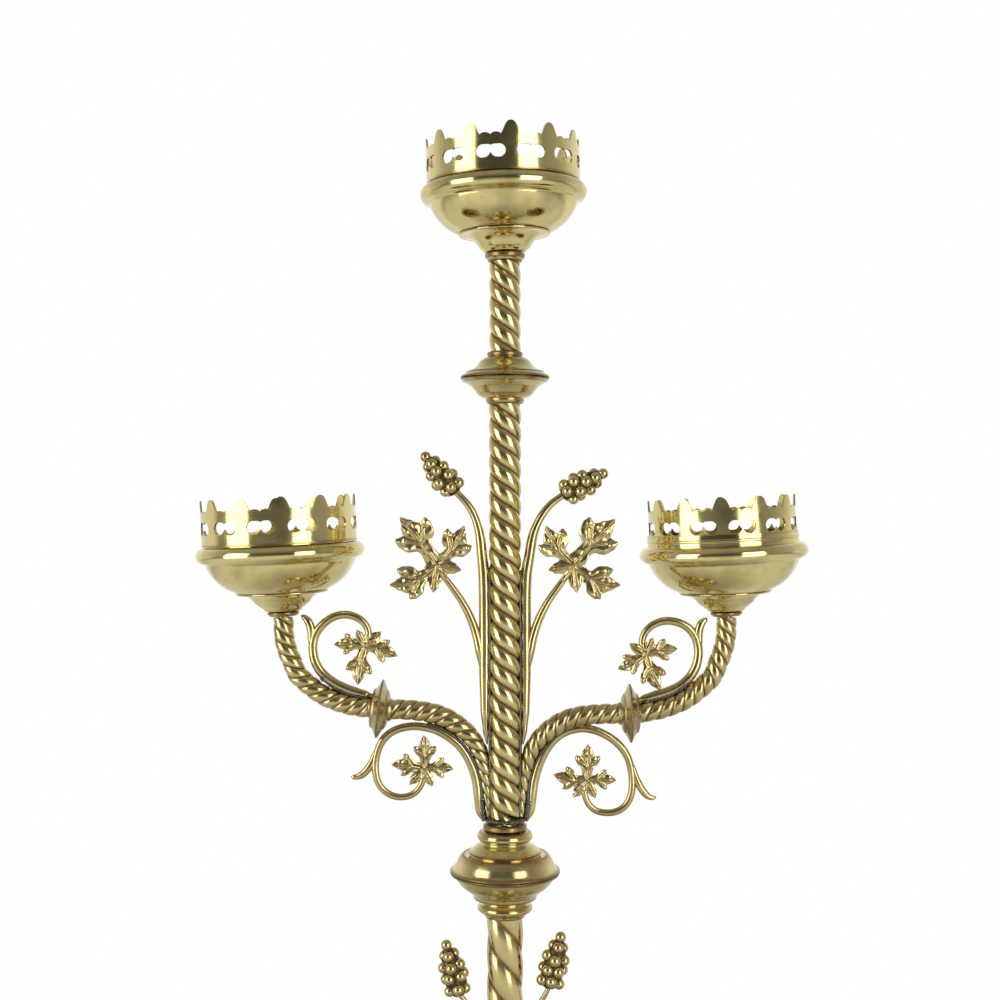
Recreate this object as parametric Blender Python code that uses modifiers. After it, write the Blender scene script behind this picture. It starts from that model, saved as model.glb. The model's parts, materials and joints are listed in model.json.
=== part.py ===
"""Three-light brass altar candelabra: turned stem, twisted shafts, scrolled arms and vine sprigs.

Lengths are in millimetres and are turned into metres by MM as the shapes are made. The stand faces
-Y, its arms lie in the plane Y = 0, and Z = 0 is the surface that its feet stand on.
"""

import math

import bmesh
import bpy
from mathutils import Matrix, Vector

MM = 0.001
GAP = 0.3
SIDES = ((-1, "left"), (1, "right"))

# Heights at which the pieces of the stem meet, from the table up.
FOOT_TOP = 12.0
RIM_TOP = 20.0
DOME_TOP = 46.0
NECK_TOP = 80.0
LOWER_SHAFT_FOOT = 92.0
LOWER_KNOP_FOOT = 226.0
LOWER_KNOP_RIM = 251.1
BRANCH_COLLAR_FOOT = 273.4
MAIN_SHAFT_FOOT = 277.4
MID_KNOP_FOOT = 509.3
MID_KNOP_RIM = 523.6
UPPER_SHAFT_FOOT = 538.0
TOP_COLLAR_FOOT = 587.4
TOP_COLLAR_TOP = 592.4

# Radii of the stem and of the rod that ties it together.
SHAFT_R = 8.4
LOWER_SHAFT_R = 9.6
TIE_ROD_R = 3.0
BORE_R = 3.4
BASE_R = 88.0
FOOT_CIRCLE_R = 74.0
FOOT_COUNT = 3

# Every twisted bar has three left-handed strands, which turn once in LEAD.
STRANDS = 3
STRAND_DEPTH = 0.16
MAIN_LEAD = 30.0
LOWER_LEAD = 60.0
ARM_LEAD = 20.0
RINGS_PER_TURN = 6

# Arms, scrolls and cups.
ARM_R = 5.6
SCROLL_R = 1.9
LEAF_THICKNESS = 2.4
ARM_END = (121.7, 392.0)
CUP_LIFT_OFF = 0.6
CUP_COLLAR_DEPTH = 3.2
SIDE_LEAN = math.radians(-2.8)
TOP_LEAN = math.radians(-1.4)
ARM_KNOP_AT = (68.4, 340.5)
ARM_KNOP_TILT = math.radians(4.0)

# A cup's own heights are measured from the plane that its crown stands on.
CROWN_HEIGHT = 25.3
CROWN_SHEET = 1.0
CROWN_PEAKS = 12
CROWN_INSIDE_R = 40.1
CROWN_OUTSIDE_R = 42.2
LIP_INSIDE_R = 40.2
LIP_OUTSIDE_R = 41.8
CROWN_PHASE = {"left": 10.5, "right": -8.0, "top": 6.0}
LIP_HEIGHT = 6.0
TORUS_R = 45.9
TORUS_HEIGHT = 9.0
BOWL_FLOOR = -25.0
BOWL_HOLE_R = 22.3
BOWL_ROUND = (16.7, -2.0)
BOWL_ROUND_R = 25.5
BOWL_SHEET = 1.5
BELL_TOP = -26.3
BELL_FOOT = -37.0
SOCKET_FLOOR = -22.0
SOCKET_TOP = 2.0
CANDLE_R = 11.25
STUD_R = 3.175
STUD_HOLE_R = 3.5
STUD_END = -50.0


# ---------------------------------------------------------------- scene and objects

def start_collections():
    """Empties the file and makes one collection for the model and one for the cutting shapes."""
    for old in list(bpy.data.objects):
        bpy.data.objects.remove(old, do_unlink=True)
    made = {}
    for key in ("tabletop_candelabra", "cutters"):
        made[key] = bpy.data.collections.new(key)
        bpy.context.scene.collection.children.link(made[key])
    return made["tabletop_candelabra"], made["cutters"]


MODEL, CUTTERS = start_collections()

FINISHES = {
    "polished": ((0.62, 0.52, 0.24, 1.0), 0.16),
    "cast": ((0.42, 0.33, 0.13, 1.0), 0.34),
    "inner": ((0.50, 0.43, 0.22, 1.0), 0.45),
}


def brass(name, finish):
    """A brass of its own for one piece."""
    colour, roughness = FINISHES[finish]
    material = bpy.data.materials.new(name + "_brass")
    material.use_nodes = True
    shader = material.node_tree.nodes["Principled BSDF"]
    shader.inputs["Base Color"].default_value = colour
    shader.inputs["Metallic"].default_value = 1.0
    shader.inputs["Roughness"].default_value = roughness
    return material


def place(obj, collection, parent=None, at=(0, 0, 0)):
    """Links an object, hangs it on its parent and puts it at a point given in millimetres."""
    collection.objects.link(obj)
    obj.parent = parent
    obj.location = Vector(at) * MM
    return obj


def add_mesh(name, mesh, finish, parent=None, at=(0, 0, 0)):
    mesh.materials.append(brass(name, finish))
    return place(bpy.data.objects.new(name, mesh), MODEL, parent, at)


def add_empty(name, at, lean=0.0):
    """A frame on a piece's own axis, leaning about Y so that its top goes towards +X."""
    empty = place(bpy.data.objects.new(name, None), MODEL, None, at)
    empty.rotation_euler.y = lean
    return empty


def weld(mesh):
    """Joins the vertices of a curve's caps and sections to each other."""
    bm = bmesh.new()
    bm.from_mesh(mesh)
    bmesh.ops.remove_doubles(bm, verts=bm.verts, dist=0.002 * MM)
    bmesh.ops.recalc_face_normals(bm, faces=bm.faces)
    bm.to_mesh(mesh)
    bm.free()


def curve_to_mesh(obj, name):
    """Replaces a curve object with a closed mesh object at the same place."""
    bpy.context.view_layer.update()
    graph = bpy.context.evaluated_depsgraph_get()
    mesh = bpy.data.meshes.new_from_object(obj.evaluated_get(graph))
    weld(mesh)
    where = obj.matrix_world.copy()
    bpy.data.objects.remove(obj, do_unlink=True)
    made = bpy.data.objects.new(name, mesh)
    MODEL.objects.link(made)
    made.matrix_world = where
    return made


def boolean(obj, tool, operation):
    """Adds a cut or a union with a tool, which then only guides the shape."""
    if tool.name not in CUTTERS.objects:
        MODEL.objects.unlink(tool)
        CUTTERS.objects.link(tool)
    tool.hide_render = True
    tool.display_type = "WIRE"
    step = obj.modifiers.new(tool.name, "BOOLEAN")
    step.operation = operation
    step.solver = "EXACT"
    step.object = tool
    return obj


def rod_cutter(name, radius, foot, top, parent=None, sides=12):
    """A plain cylinder that bores a hole from one height to another on its frame's axis."""
    mesh = bpy.data.meshes.new(name)
    bm = bmesh.new()
    bmesh.ops.create_cone(bm, cap_ends=True, segments=sides, radius1=radius * MM,
                          radius2=radius * MM, depth=(top - foot) * MM)
    bm.to_mesh(mesh)
    bm.free()
    return place(bpy.data.objects.new(name, mesh), CUTTERS, parent, (0, 0, (foot + top) / 2))


# ---------------------------------------------------------------- turned pieces

def arc(centre_r, centre_z, radius, start, end, steps):
    """Points of a moulding's round stretch, by angle from the outward direction."""
    points = []
    for i in range(steps + 1):
        a = math.radians(start + (end - start) * i / steps)
        points.append((centre_r + radius * math.cos(a), centre_z + radius * math.sin(a)))
    return points


def turned(name, outer, inner=None, finish="polished", segments=16, parent=None, at=(0, 0, 0)):
    """A lathe-turned piece. outer runs down its outside from the top, and inner runs back up its
    bore or hollow; without inner the piece is solid to its axis."""
    if inner is None:
        points = [(0.0, outer[0][1])] + list(outer) + [(0.0, outer[-1][1])]
    else:
        points = list(outer) + list(inner)
    edges = [(i, i + 1) for i in range(len(points) - 1)]
    if inner is not None:
        edges.append((len(points) - 1, 0))
    mesh = bpy.data.meshes.new(name)
    mesh.from_pydata([(r * MM, 0, z * MM) for r, z in points], edges, [])
    obj = add_mesh(name, mesh, finish, parent, at)
    lathe = obj.modifiers.new("Lathe", "SCREW")
    lathe.steps = segments
    lathe.render_steps = segments
    lathe.use_merge_vertices = True
    lathe.merge_threshold = 0.00005
    lathe.use_smooth_shade = True
    return obj


def bored(name, outer, bore=BORE_R, **rest):
    """A turned piece with a straight hole through it."""
    return turned(name, outer, [(bore, outer[-1][1]), (bore, outer[0][1])], **rest)


# ---------------------------------------------------------------- bars, wires and outlines

def smooth_route(points, step):
    """Points at an even spacing along a smooth curve through hand-placed ones."""
    knots = [Vector(p) for p in points]
    knots = [2 * knots[0] - knots[1]] + knots + [2 * knots[-1] - knots[-2]]
    fine = []
    for a, b, c, d in zip(knots, knots[1:], knots[2:], knots[3:]):
        for i in range(24):
            t = i / 24
            fine.append(0.5 * (2 * b + (c - a) * t + (2 * a - 5 * b + 4 * c - d) * t * t
                               + (3 * b - a - 3 * c + d) * t ** 3))
    fine.append(knots[-2])
    run = [0.0]
    for a, b in zip(fine, fine[1:]):
        run.append(run[-1] + (b - a).length)
    count = max(2, round(run[-1] / step))
    even = []
    place_at = 0
    for i in range(count + 1):
        want = run[-1] * i / count
        while place_at < len(run) - 2 and run[place_at + 1] < want:
            place_at += 1
        span = run[place_at + 1] - run[place_at]
        even.append(fine[place_at].lerp(fine[place_at + 1], (want - run[place_at]) / span))
    return even, run[-1]


def upright(points, side=1):
    """Outward and upward distances as points of the plane Y = 0 on one side of the stem."""
    return [(side * x, 0.0, z) for x, z in points]


def add_curve(name, route, finish, radii=None, tilts=None, collection=MODEL):
    """A bare 3-D curve through the route's points."""
    data = bpy.data.curves.new(name, "CURVE")
    data.dimensions = "3D"
    data.resolution_u = 1
    data.render_resolution_u = 0
    data.use_fill_caps = True
    spline = data.splines.new("POLY")
    spline.points.add(len(route) - 1)
    for i, point in enumerate(route):
        spline.points[i].co = (*(Vector(point) * MM), 1.0)
        spline.points[i].radius = radii[i] if radii else 1.0
        spline.points[i].tilt = tilts[i] if tilts else 0.0
    data.materials.append(brass(name, finish))
    return place(bpy.data.objects.new(name, data), collection)


def taper(count, stops):
    """Radii along a wire from (share of its length, radius) stops."""
    radii = []
    for i in range(count):
        share = i / (count - 1)
        for (s0, r0), (s1, r1) in zip(stops, stops[1:]):
            if share <= s1:
                radii.append(r0 + (r1 - r0) * (share - s0) / (s1 - s0))
                break
    return radii


def wire(name, route, stops, step=6.0, finish="cast", sides=6):
    """A round wire along a smooth route, with its radius given by stops."""
    points, _ = smooth_route(route, step)
    obj = add_curve(name, points, finish, taper(len(points), stops))
    obj.data.bevel_depth = 1.0 * MM
    obj.data.bevel_resolution = (sides - 4) // 2
    return obj


def strand_section(radius):
    """A closed section with one ridge for each strand and a groove between neighbours."""
    data = bpy.data.curves.new("strand_section", "CURVE")
    data.dimensions = "2D"
    data.resolution_u = 1
    data.render_resolution_u = 0
    spline = data.splines.new("POLY")
    spline.use_cyclic_u = True
    spline.points.add(STRANDS * 3 - 1)
    groove = radius * (1 - STRAND_DEPTH)
    for i in range(STRANDS * 3):
        r = groove if i % 3 == 0 else radius
        a = 2 * math.pi * i / (STRANDS * 3)
        spline.points[i].co = (r * math.cos(a) * MM, r * math.sin(a) * MM, 0.0, 1.0)
    section = place(bpy.data.objects.new("strand_section", data), CUTTERS)
    section.hide_render = True
    return section


def twisted_bar(name, route, radius, lead, stops=((0.0, 1.0), (1.0, 1.0))):
    """A bar of left-handed strands along a route; stops scale its section along its length."""
    points, length = smooth_route(route, lead / RINGS_PER_TURN)
    tilts = [-2 * math.pi * length * i / (len(points) - 1) / lead for i in range(len(points))]
    section = strand_section(radius)
    bar = add_curve(name, points, "polished", taper(len(points), stops), tilts)
    bar.data.bevel_mode = "OBJECT"
    bar.data.bevel_object = section
    made = curve_to_mesh(bar, name)
    bpy.data.objects.remove(section, do_unlink=True)
    return made


def plate(name, outline, thickness, finish="cast", side=1, lift=0.0):
    """A flat casting in the plane Y = lift, from the outline of its front."""
    data = bpy.data.curves.new(name, "CURVE")
    data.dimensions = "2D"
    data.fill_mode = "BOTH"
    data.resolution_u = 1
    data.render_resolution_u = 0
    data.extrude = thickness / 2 * MM
    spline = data.splines.new("POLY")
    spline.use_cyclic_u = True
    spline.points.add(len(outline) - 1)
    for i, (x, z) in enumerate(outline):
        spline.points[i].co = (side * x * MM, z * MM, 0.0, 1.0)
    data.materials.append(brass(name, finish))
    obj = place(bpy.data.objects.new(name, data), MODEL, None, (0, lift, 0))
    obj.rotation_euler.x = math.pi / 2
    return curve_to_mesh(obj, name)


def leaf_outline(centre, lobes, small):
    """A vine leaf from its centre and the tips of its lobes. A main lobe has a narrow waist and a
    tooth on either side of its tip, and a small lobe is plain."""
    waist = ((0.34, 0.11), (0.52, 0.14), (0.76, 0.29), (0.77, 0.16))
    plain = ((0.45, 0.17), (0.72, 0.20))
    middle = Vector(centre)
    arms = [(Vector(tip) - middle, waist) for tip in lobes] + [(Vector(tip) - middle, plain) for tip in small]
    arms.sort(key=lambda pair: math.atan2(pair[0].y, pair[0].x))
    outline = []
    for (arm, side_points), (after, _) in zip(arms, arms[1:] + arms[:1]):
        across = Vector((-arm.y, arm.x))
        outline += [middle + arm * along - across * aside for along, aside in side_points]
        outline.append(middle + arm)
        outline += [middle + arm * along + across * aside for along, aside in side_points[::-1]]
        valley = arm.normalized() + after.normalized()
        outline.append(middle + valley.normalized() * min(arm.length, after.length) * 0.36)
    return [tuple(p) for p in outline]


# ---------------------------------------------------------------- base and stem

def build_base():
    foot = [(9.0, FOOT_TOP - GAP)] + arc(8.5, 6.0, 4.5, 60, -60, 3) + [(8.0, 0.0)]
    for i in range(FOOT_COUNT):
        a = math.radians(90 + 360 * i / FOOT_COUNT)
        at = (FOOT_CIRCLE_R * math.cos(a), FOOT_CIRCLE_R * math.sin(a), 0)
        turned(f"base_foot_{i + 1}", foot, segments=12, at=at)
    rim = [(79.0, RIM_TOP - GAP), (82.0, RIM_TOP - GAP)]
    rim += arc(BASE_R - 5.0, 15.5, 5.0, 60, -40, 3) + [(84.0, FOOT_TOP)]
    turned("base_rim", rim, [(62.0, FOOT_TOP), (62.0, 15.0), (70.0, RIM_TOP - GAP)], segments=20)
    dome = [(24.0, DOME_TOP - GAP), (27.0, 44.0), (34.0, 36.5), (46.0, 31.0), (60.0, 28.0),
            (72.0, 25.0), (78.0, RIM_TOP)]
    hollow = [(70.0, RIM_TOP), (66.0, 23.0), (44.0, 28.5), (31.0, 34.5), (21.0, 41.0),
              (BORE_R, 41.0), (BORE_R, DOME_TOP - GAP)]
    turned("base_dome", dome, hollow, segments=20)
    neck = [(12.0, NECK_TOP - GAP), (15.5, 77.0), (12.5, 73.5), (10.0, 68.0), (11.5, 60.0),
            (17.0, 53.0), (22.0, 50.0), (22.0, DOME_TOP)]
    bored("base_neck", neck)
    turned("base_washer", [(11.0, 40.7), (11.0, 38.9)], [(BORE_R, 38.9), (BORE_R, 40.7)], "inner", 12)
    turned("base_nut", [(6.5, 38.6), (6.5, 32.6)], [(3.8, 32.6), (3.8, 38.6)], "inner", 6)
    turned("tie_rod", [(TIE_ROD_R, 577.0), (TIE_ROD_R, 29.0)], finish="inner", segments=12)


def build_stem():
    collar = [(10.5, LOWER_SHAFT_FOOT - GAP), (15.5, 89.5), (17.0, 86.5), (15.5, 83.0), (12.0, NECK_TOP)]
    bored("lower_collar", collar)
    bottom = [(30.2, LOWER_KNOP_RIM - GAP), (27.8, 247.5), (21.6, 241.0), (17.7, 237.8), (17.2, 236.0)]
    bottom += [(12.5, 234.5), (15.0, 232.7), (15.0, 229.0), (11.5, LOWER_KNOP_FOOT)]
    bored("lower_knop_bottom", bottom)
    top = [(13.4, BRANCH_COLLAR_FOOT - GAP)] + arc(12.6, 270.3, 2.6, 50, -50, 3)
    top += [(13.6, 267.2), (18.6, 264.8), (19.6, 263.5), (24.2, 259.5), (27.6, 254.0), (30.2, LOWER_KNOP_RIM)]
    bored("lower_knop_top", top)
    collar = [(10.8, MAIN_SHAFT_FOOT - GAP), (12.0, 276.0), (12.0, 274.6), (11.2, BRANCH_COLLAR_FOOT)]
    bored("branch_collar", collar)
    low = [(24.5, MID_KNOP_RIM - GAP), (23.0, 521.0), (18.2, 518.6), (15.2, 514.8), (11.2, 512.3),
           (10.2, 511.0), (9.6, MID_KNOP_FOOT)]
    bored("mid_knop_bottom", low)
    high = [(9.8, UPPER_SHAFT_FOOT - GAP), (9.8, 535.2), (13.9, 532.4), (16.2, 529.7), (18.5, 527.5),
            (21.8, 526.4), (24.5, MID_KNOP_RIM)]
    bored("mid_knop_top", high)
    shafts = (
        ("lower_shaft", LOWER_SHAFT_R, LOWER_SHAFT_FOOT, LOWER_KNOP_FOOT, LOWER_LEAD),
        ("main_shaft", SHAFT_R, MAIN_SHAFT_FOOT, MID_KNOP_FOOT, MAIN_LEAD),
        ("upper_shaft", SHAFT_R, UPPER_SHAFT_FOOT, TOP_COLLAR_FOOT, MAIN_LEAD),
    )
    for name, radius, foot, top, lead in shafts:
        bar = twisted_bar(name, [(0, 0, foot), (0, 0, top - GAP)], radius, lead)
        boolean(bar, rod_cutter(name + "_bore", BORE_R, foot - 1, top + 1), "DIFFERENCE")
    collar = [(10.2, TOP_COLLAR_TOP - GAP), (10.9, 591.0), (10.9, 589.0), (9.6, TOP_COLLAR_FOOT)]
    bored("top_cup_collar", collar, STUD_HOLE_R)


# ---------------------------------------------------------------- arms and scrolls

def build_arm(side, label, cup_axis):
    """One arm from the shaft to its cup, in two twisted bars on either side of a turned knop."""
    inner = [(60.6, 340.2), (50.9, 339.9), (41.5, 338.8), (34.3, 336.6), (27.9, 333.3), (21.8, 328.1),
             (17.2, 321.8), (14.6, 315.0), (12.6, 306.0), (11.4, 297.0), (10.7, 289.0), (10.3, 280.5)]
    swell = ((0.0, 1.0), (0.50, 1.0), (0.62, 0.92), (0.72, 0.62), (0.82, 0.43), (0.92, 0.29), (1.0, 0.21))
    twisted_bar(label + "_inner_arm", upright(inner, side), ARM_R, ARM_LEAD, swell)
    outer = [ARM_END, (121.0, 382.2), (119.1, 373.5), (116.4, 366.9), (113.3, 359.9), (105.6, 352.8),
             (97.6, 347.3), (86.4, 342.7), (77.0, 341.0)]
    bar = twisted_bar(label + "_outer_arm", upright(outer, side), ARM_R, ARM_LEAD)
    stud_bore = rod_cutter(label + "_stud_bore", STUD_HOLE_R, STUD_END - 1.5, BELL_FOOT, cup_axis)
    boolean(bar, stud_bore, "DIFFERENCE")
    knop_at = (side * ARM_KNOP_AT[0], 0, ARM_KNOP_AT[1])
    knop = add_empty(label + "_knop_axis", knop_at, side * (math.pi / 2 - ARM_KNOP_TILT))
    ring = [(6.4, 7.8), (7.0, 6.2), (10.5, 4.2), (13.2, 2.0), (16.2, 0.0), (13.2, -2.0),
            (10.5, -3.6), (7.0, -5.6), (6.4, -7.0)]
    turned(label + "_arm_knop", ring, parent=knop)
    collar = [(8.0, BELL_FOOT - GAP), (8.7, BELL_FOOT - 0.9), (8.7, BELL_FOOT - 2.0), (7.9, BELL_FOOT - 2.9)]
    bored(label + "_cup_collar", collar, STUD_HOLE_R, segments=16, parent=cup_axis)


# The scrolls of one side, traced by eye: each has its wire's route, its spur's route, and its leaf's
# centre, main lobes' tips and small lobes' tips. The right-hand ones hang lower and turn further.
SCROLLS = {
    "left_lower": (
        [(13.8, 280.2), (15.1, 287.0), (16.5, 294.6), (17.9, 302.5), (20.1, 309.3), (23.6, 315.2),
         (28.0, 320.2), (33.8, 324.7), (41.0, 328.5), (49.0, 330.3), (57.0, 329.8), (63.2, 326.2),
         (66.8, 321.0), (69.9, 315.0), (71.2, 308.0), (69.9, 301.8), (65.7, 296.7), (60.7, 293.8),
         (54.8, 293.4), (49.7, 295.5), (46.6, 298.6)],
        [(69.6, 313.6), (75.9, 309.2), (80.0, 306.2), (84.7, 304.7)],
        (44.6, 309.6), [(44.7, 327.0), (62.0, 311.6), (28.4, 309.0)], [(52.6, 300.9), (40.2, 299.8)]),
    "right_lower": (
        [(13.8, 280.2), (15.1, 287.0), (16.5, 294.6), (17.9, 302.5), (20.1, 309.3), (23.5, 315.3),
         (27.9, 320.4), (33.4, 324.4), (39.4, 327.2), (45.2, 328.2), (51.4, 326.8), (57.6, 323.4),
         (63.2, 318.0),
         (67.0, 312.0), (69.4, 305.0), (70.0, 298.5), (68.8, 293.0), (65.5, 288.2), (61.0, 285.5),
         (56.0, 284.7), (50.5, 285.6), (46.5, 288.8)],
        [(68.4, 308.6), (72.8, 302.4), (76.8, 296.6), (82.4, 293.1)],
        (45.2, 302.5), [(45.5, 322.4), (61.0, 302.7), (26.8, 305.6)], [(49.8, 293.4), (37.6, 293.6)]),
    "left_upper": (
        [(76.6, 350.3), (80.4, 350.9), (87.6, 353.7), (94.8, 357.6), (100.6, 361.9), (104.3, 366.9),
         (105.8, 373.3), (105.3, 379.2), (103.2, 384.3), (99.2, 388.7), (93.5, 391.9), (87.2, 392.5),
         (81.2, 391.0), (77.2, 387.6)],
        [(105.5, 377.0), (107.4, 386.0), (110.2, 391.4)],
        (76.8, 376.6), [(80.8, 355.4), (94.0, 377.3), (59.4, 370.9)], [(81.8, 384.6), (69.0, 384.2)]),
    "right_upper": (
        [(76.6, 349.0), (82.5, 350.0), (90.0, 352.2), (96.5, 355.8), (101.4, 360.4), (104.6, 366.0),
         (106.0, 372.0), (105.4, 378.0), (102.6, 383.5), (97.5, 388.0), (92.0, 390.2), (86.5, 390.0),
         (81.0, 387.4), (77.5, 383.8)],
        [(105.4, 376.0), (106.8, 385.0), (110.4, 390.8)],
        (77.3, 371.6), [(85.2, 352.6), (94.4, 374.9), (62.2, 363.6)], [(81.2, 380.4), (68.6, 377.4)]),
}


def build_scrolls(side, label):
    """The wire scrolls below and above the arm, each with its spur and its cast leaf."""
    even = ((0.0, SCROLL_R), (0.75, SCROLL_R), (1.0, 1.3))
    pointed = ((0.0, 1.5), (1.0, 0.8))
    for level in ("lower", "upper"):
        route, spur, centre, lobes, small = SCROLLS[f"{label}_{level}"]
        name = f"{label}_{level}_scroll"
        bend = curve_to_mesh(wire(name, upright(route, side), even), name)
        tip = curve_to_mesh(wire(name + "_spur", upright(spur, side), pointed, 5.0), name + "_spur")
        boolean(bend, tip, "UNION")
        plate(name + "_leaf", leaf_outline(centre, lobes, small), LEAF_THICKNESS, side=side)


# ---------------------------------------------------------------- vine sprigs

def grape_cluster(name, foot, tip, side, rows=(3, 3, 3), ball=3.2):
    """Balls in rings around a core, from the stalk's end to a single ball at the tip."""
    foot = Vector((side * foot[0], 0, foot[1]))
    axis = Vector((side * tip[0], 0, tip[1])) - foot
    turn = Vector((0, 0, 1)).rotation_difference(axis.normalized()).to_matrix().to_4x4()
    frame = Matrix.Translation(foot) @ turn
    length = axis.length
    bm = bmesh.new()
    core = frame @ Matrix.Translation((0, 0, length / 2)) @ Matrix.Diagonal((4.6, 4.6, length / 2 - 1, 1))
    bmesh.ops.create_icosphere(bm, subdivisions=1, radius=1.0, matrix=core)
    core_mesh = bpy.data.meshes.new(name)
    bmesh.ops.scale(bm, vec=(MM, MM, MM), verts=bm.verts)
    bm.to_mesh(core_mesh)
    bm.free()
    obj = add_mesh(name, core_mesh, "cast")
    balls = bmesh.new()
    centres = [(0.0, 0.0, length - ball * 0.6)]
    for row, count in enumerate(rows):
        height = length * (0.82 - 0.68 * row / (len(rows) - 1))
        ring = 2.6 + 2.4 * math.sin(math.pi * (0.28 + 0.6 * row / (len(rows) - 1)))
        for i in range(count):
            a = 2 * math.pi * (i + 0.5 * (row % 2)) / count
            centres.append((ring * math.cos(a), ring * math.sin(a), height))
    for index, centre in enumerate(centres):
        spot = frame @ Matrix.Translation(centre)
        bmesh.ops.create_icosphere(balls, subdivisions=1, radius=ball, matrix=spot)
    bmesh.ops.scale(balls, vec=(MM, MM, MM), verts=balls.verts)
    balls_mesh = bpy.data.meshes.new(name + "_balls")
    balls.to_mesh(balls_mesh)
    balls.free()
    tool = place(bpy.data.objects.new(name + "_balls", balls_mesh), CUTTERS)
    step = boolean(obj, tool, "UNION").modifiers[0]
    step.use_self = True
    return obj


def sprig(name, side, stem_route, stem_stops, stalk_route, stalk_stops):
    """A stem with one stalk that branches from it, joined into one casting."""
    stem = curve_to_mesh(wire(name, upright(stem_route, side), stem_stops, 9.0), name)
    stalk = wire(name + "_stalk", upright(stalk_route, side), stalk_stops, 6.0)
    boolean(stem, curve_to_mesh(stalk, name + "_stalk"), "UNION")


# The upper end of each tall sprig's stem, and the line of its bunch from stalk to tip.
SPRIG_END = {
    "left": [(12.6, 426.0), (14.0, 438.0), (16.6, 447.0), (20.2, 453.6), (25.2, 459.2)],
    "right": [(13.4, 426.0), (15.6, 438.0), (19.6, 447.0), (24.6, 453.6), (29.6, 457.6)],
}
BUNCH_LINE = {"left": ((27.4, 461.2), (43.6, 480.2)), "right": ((32.2, 459.6), (53.8, 471.4))}


def build_sprigs(side, label):
    """The tall vine sprig beside the main shaft and the short one beside the lower shaft."""
    bunch = [(11.4, 330.2), (11.4, 350.0), (11.4, 384.5), (11.9, 412.0)] + SPRIG_END[label]
    stalk = [(12.2, 366.0), (14.4, 379.2), (17.7, 390.2), (22.8, 400.3), (28.4, 407.6)]
    stem_stops = ((0.0, 2.6), (0.6, 2.4), (1.0, 1.8))
    sprig(label + "_vine_sprig", side, bunch, stem_stops, stalk, ((0.0, 1.7), (1.0, 1.4)))
    lobes = [(58.8, 446.4), (63.5, 409.6), (24.0, 443.6)]
    leaf = leaf_outline((38.6, 421.9), lobes, [(39.2, 405.0), (24.8, 419.4)])
    plate(label + "_vine_leaf", leaf, LEAF_THICKNESS, side=side)
    foot, tip = BUNCH_LINE[label]
    grape_cluster(label + "_grapes", foot, tip, side)

    low = [(14.2, 96.0), (14.0, 110.0), (14.0, 135.0), (14.8, 158.0), (17.4, 172.0), (22.6, 180.6)]
    low_stalk = [(14.1, 112.0), (17.4, 126.0), (24.0, 137.4), (29.6, 142.0)]
    sprig(label + "_lower_sprig", side, low, ((0.0, 2.3), (1.0, 1.6)), low_stalk, ((0.0, 1.5), (1.0, 1.3)))
    lobes = [(54.0, 163.0), (58.0, 140.0), (33.0, 163.0)]
    leaf = leaf_outline((40.0, 148.0), lobes, [(40.0, 134.0), (31.0, 146.0)])
    plate(label + "_lower_leaf", leaf, LEAF_THICKNESS, side=side)
    grape_cluster(label + "_lower_grapes", (24.3, 184.0), (31.6, 212.0), side)


# ---------------------------------------------------------------- cups

def crown_bay():
    """One bay of the crown's sheet, unrolled: its edge from peak to peak and its hole, as angle
    shares from -0.5 to 0.5 and heights."""
    edge = [(-0.5, 0.0), (0.0, 0.0), (0.5, 0.0), (0.5, CROWN_HEIGHT), (0.37, 23.2), (0.26, 18.3),
            (0.13, 19.2), (0.0, 18.0), (-0.13, 19.2), (-0.26, 18.3), (-0.37, 23.2), (-0.5, CROWN_HEIGHT)]
    hole = [(0.0, 8.6), (0.2, 6.0), (0.35, 9.6), (0.2, 13.2), (0.0, 12.5), (-0.2, 13.2),
            (-0.35, 9.6), (-0.2, 6.0)]
    return edge, hole


def build_crown(name, radius, turn, parent):
    """The pierced sheet crown: the bay is filled, rolled round the cup twelve times and thickened."""
    flat = bmesh.new()
    for outline in crown_bay():
        corners = [flat.verts.new((x, y, 0.0)) for x, y in outline]
        for a, b in zip(corners, corners[1:] + corners[:1]):
            flat.edges.new((a, b))
    bmesh.ops.triangle_fill(flat, edges=flat.edges, use_beauty=True)
    bm = bmesh.new()
    for bay in range(CROWN_PEAKS):
        corners = {}
        for vert in flat.verts:
            a = turn + 2 * math.pi * (bay + vert.co.x) / CROWN_PEAKS
            spot = Vector((radius * math.cos(a), radius * math.sin(a), vert.co.y)) * MM
            corners[vert] = bm.verts.new(spot)
        for face in flat.faces:
            bm.faces.new([corners[v] for v in face.verts])
    bmesh.ops.remove_doubles(bm, verts=bm.verts, dist=0.01 * MM)
    for face in bm.faces:
        outward = face.calc_center_median()
        outward.z = 0.0
        if face.normal.dot(outward) < 0:
            face.normal_flip()
    mesh = bpy.data.meshes.new(name)
    bm.to_mesh(mesh)
    bm.free()
    flat.free()
    crown = add_mesh(name, mesh, "polished", parent)
    sheet = crown.modifiers.new("Sheet", "SOLIDIFY")
    sheet.thickness = CROWN_SHEET * MM
    sheet.offset = -1.0
    return crown


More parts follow.
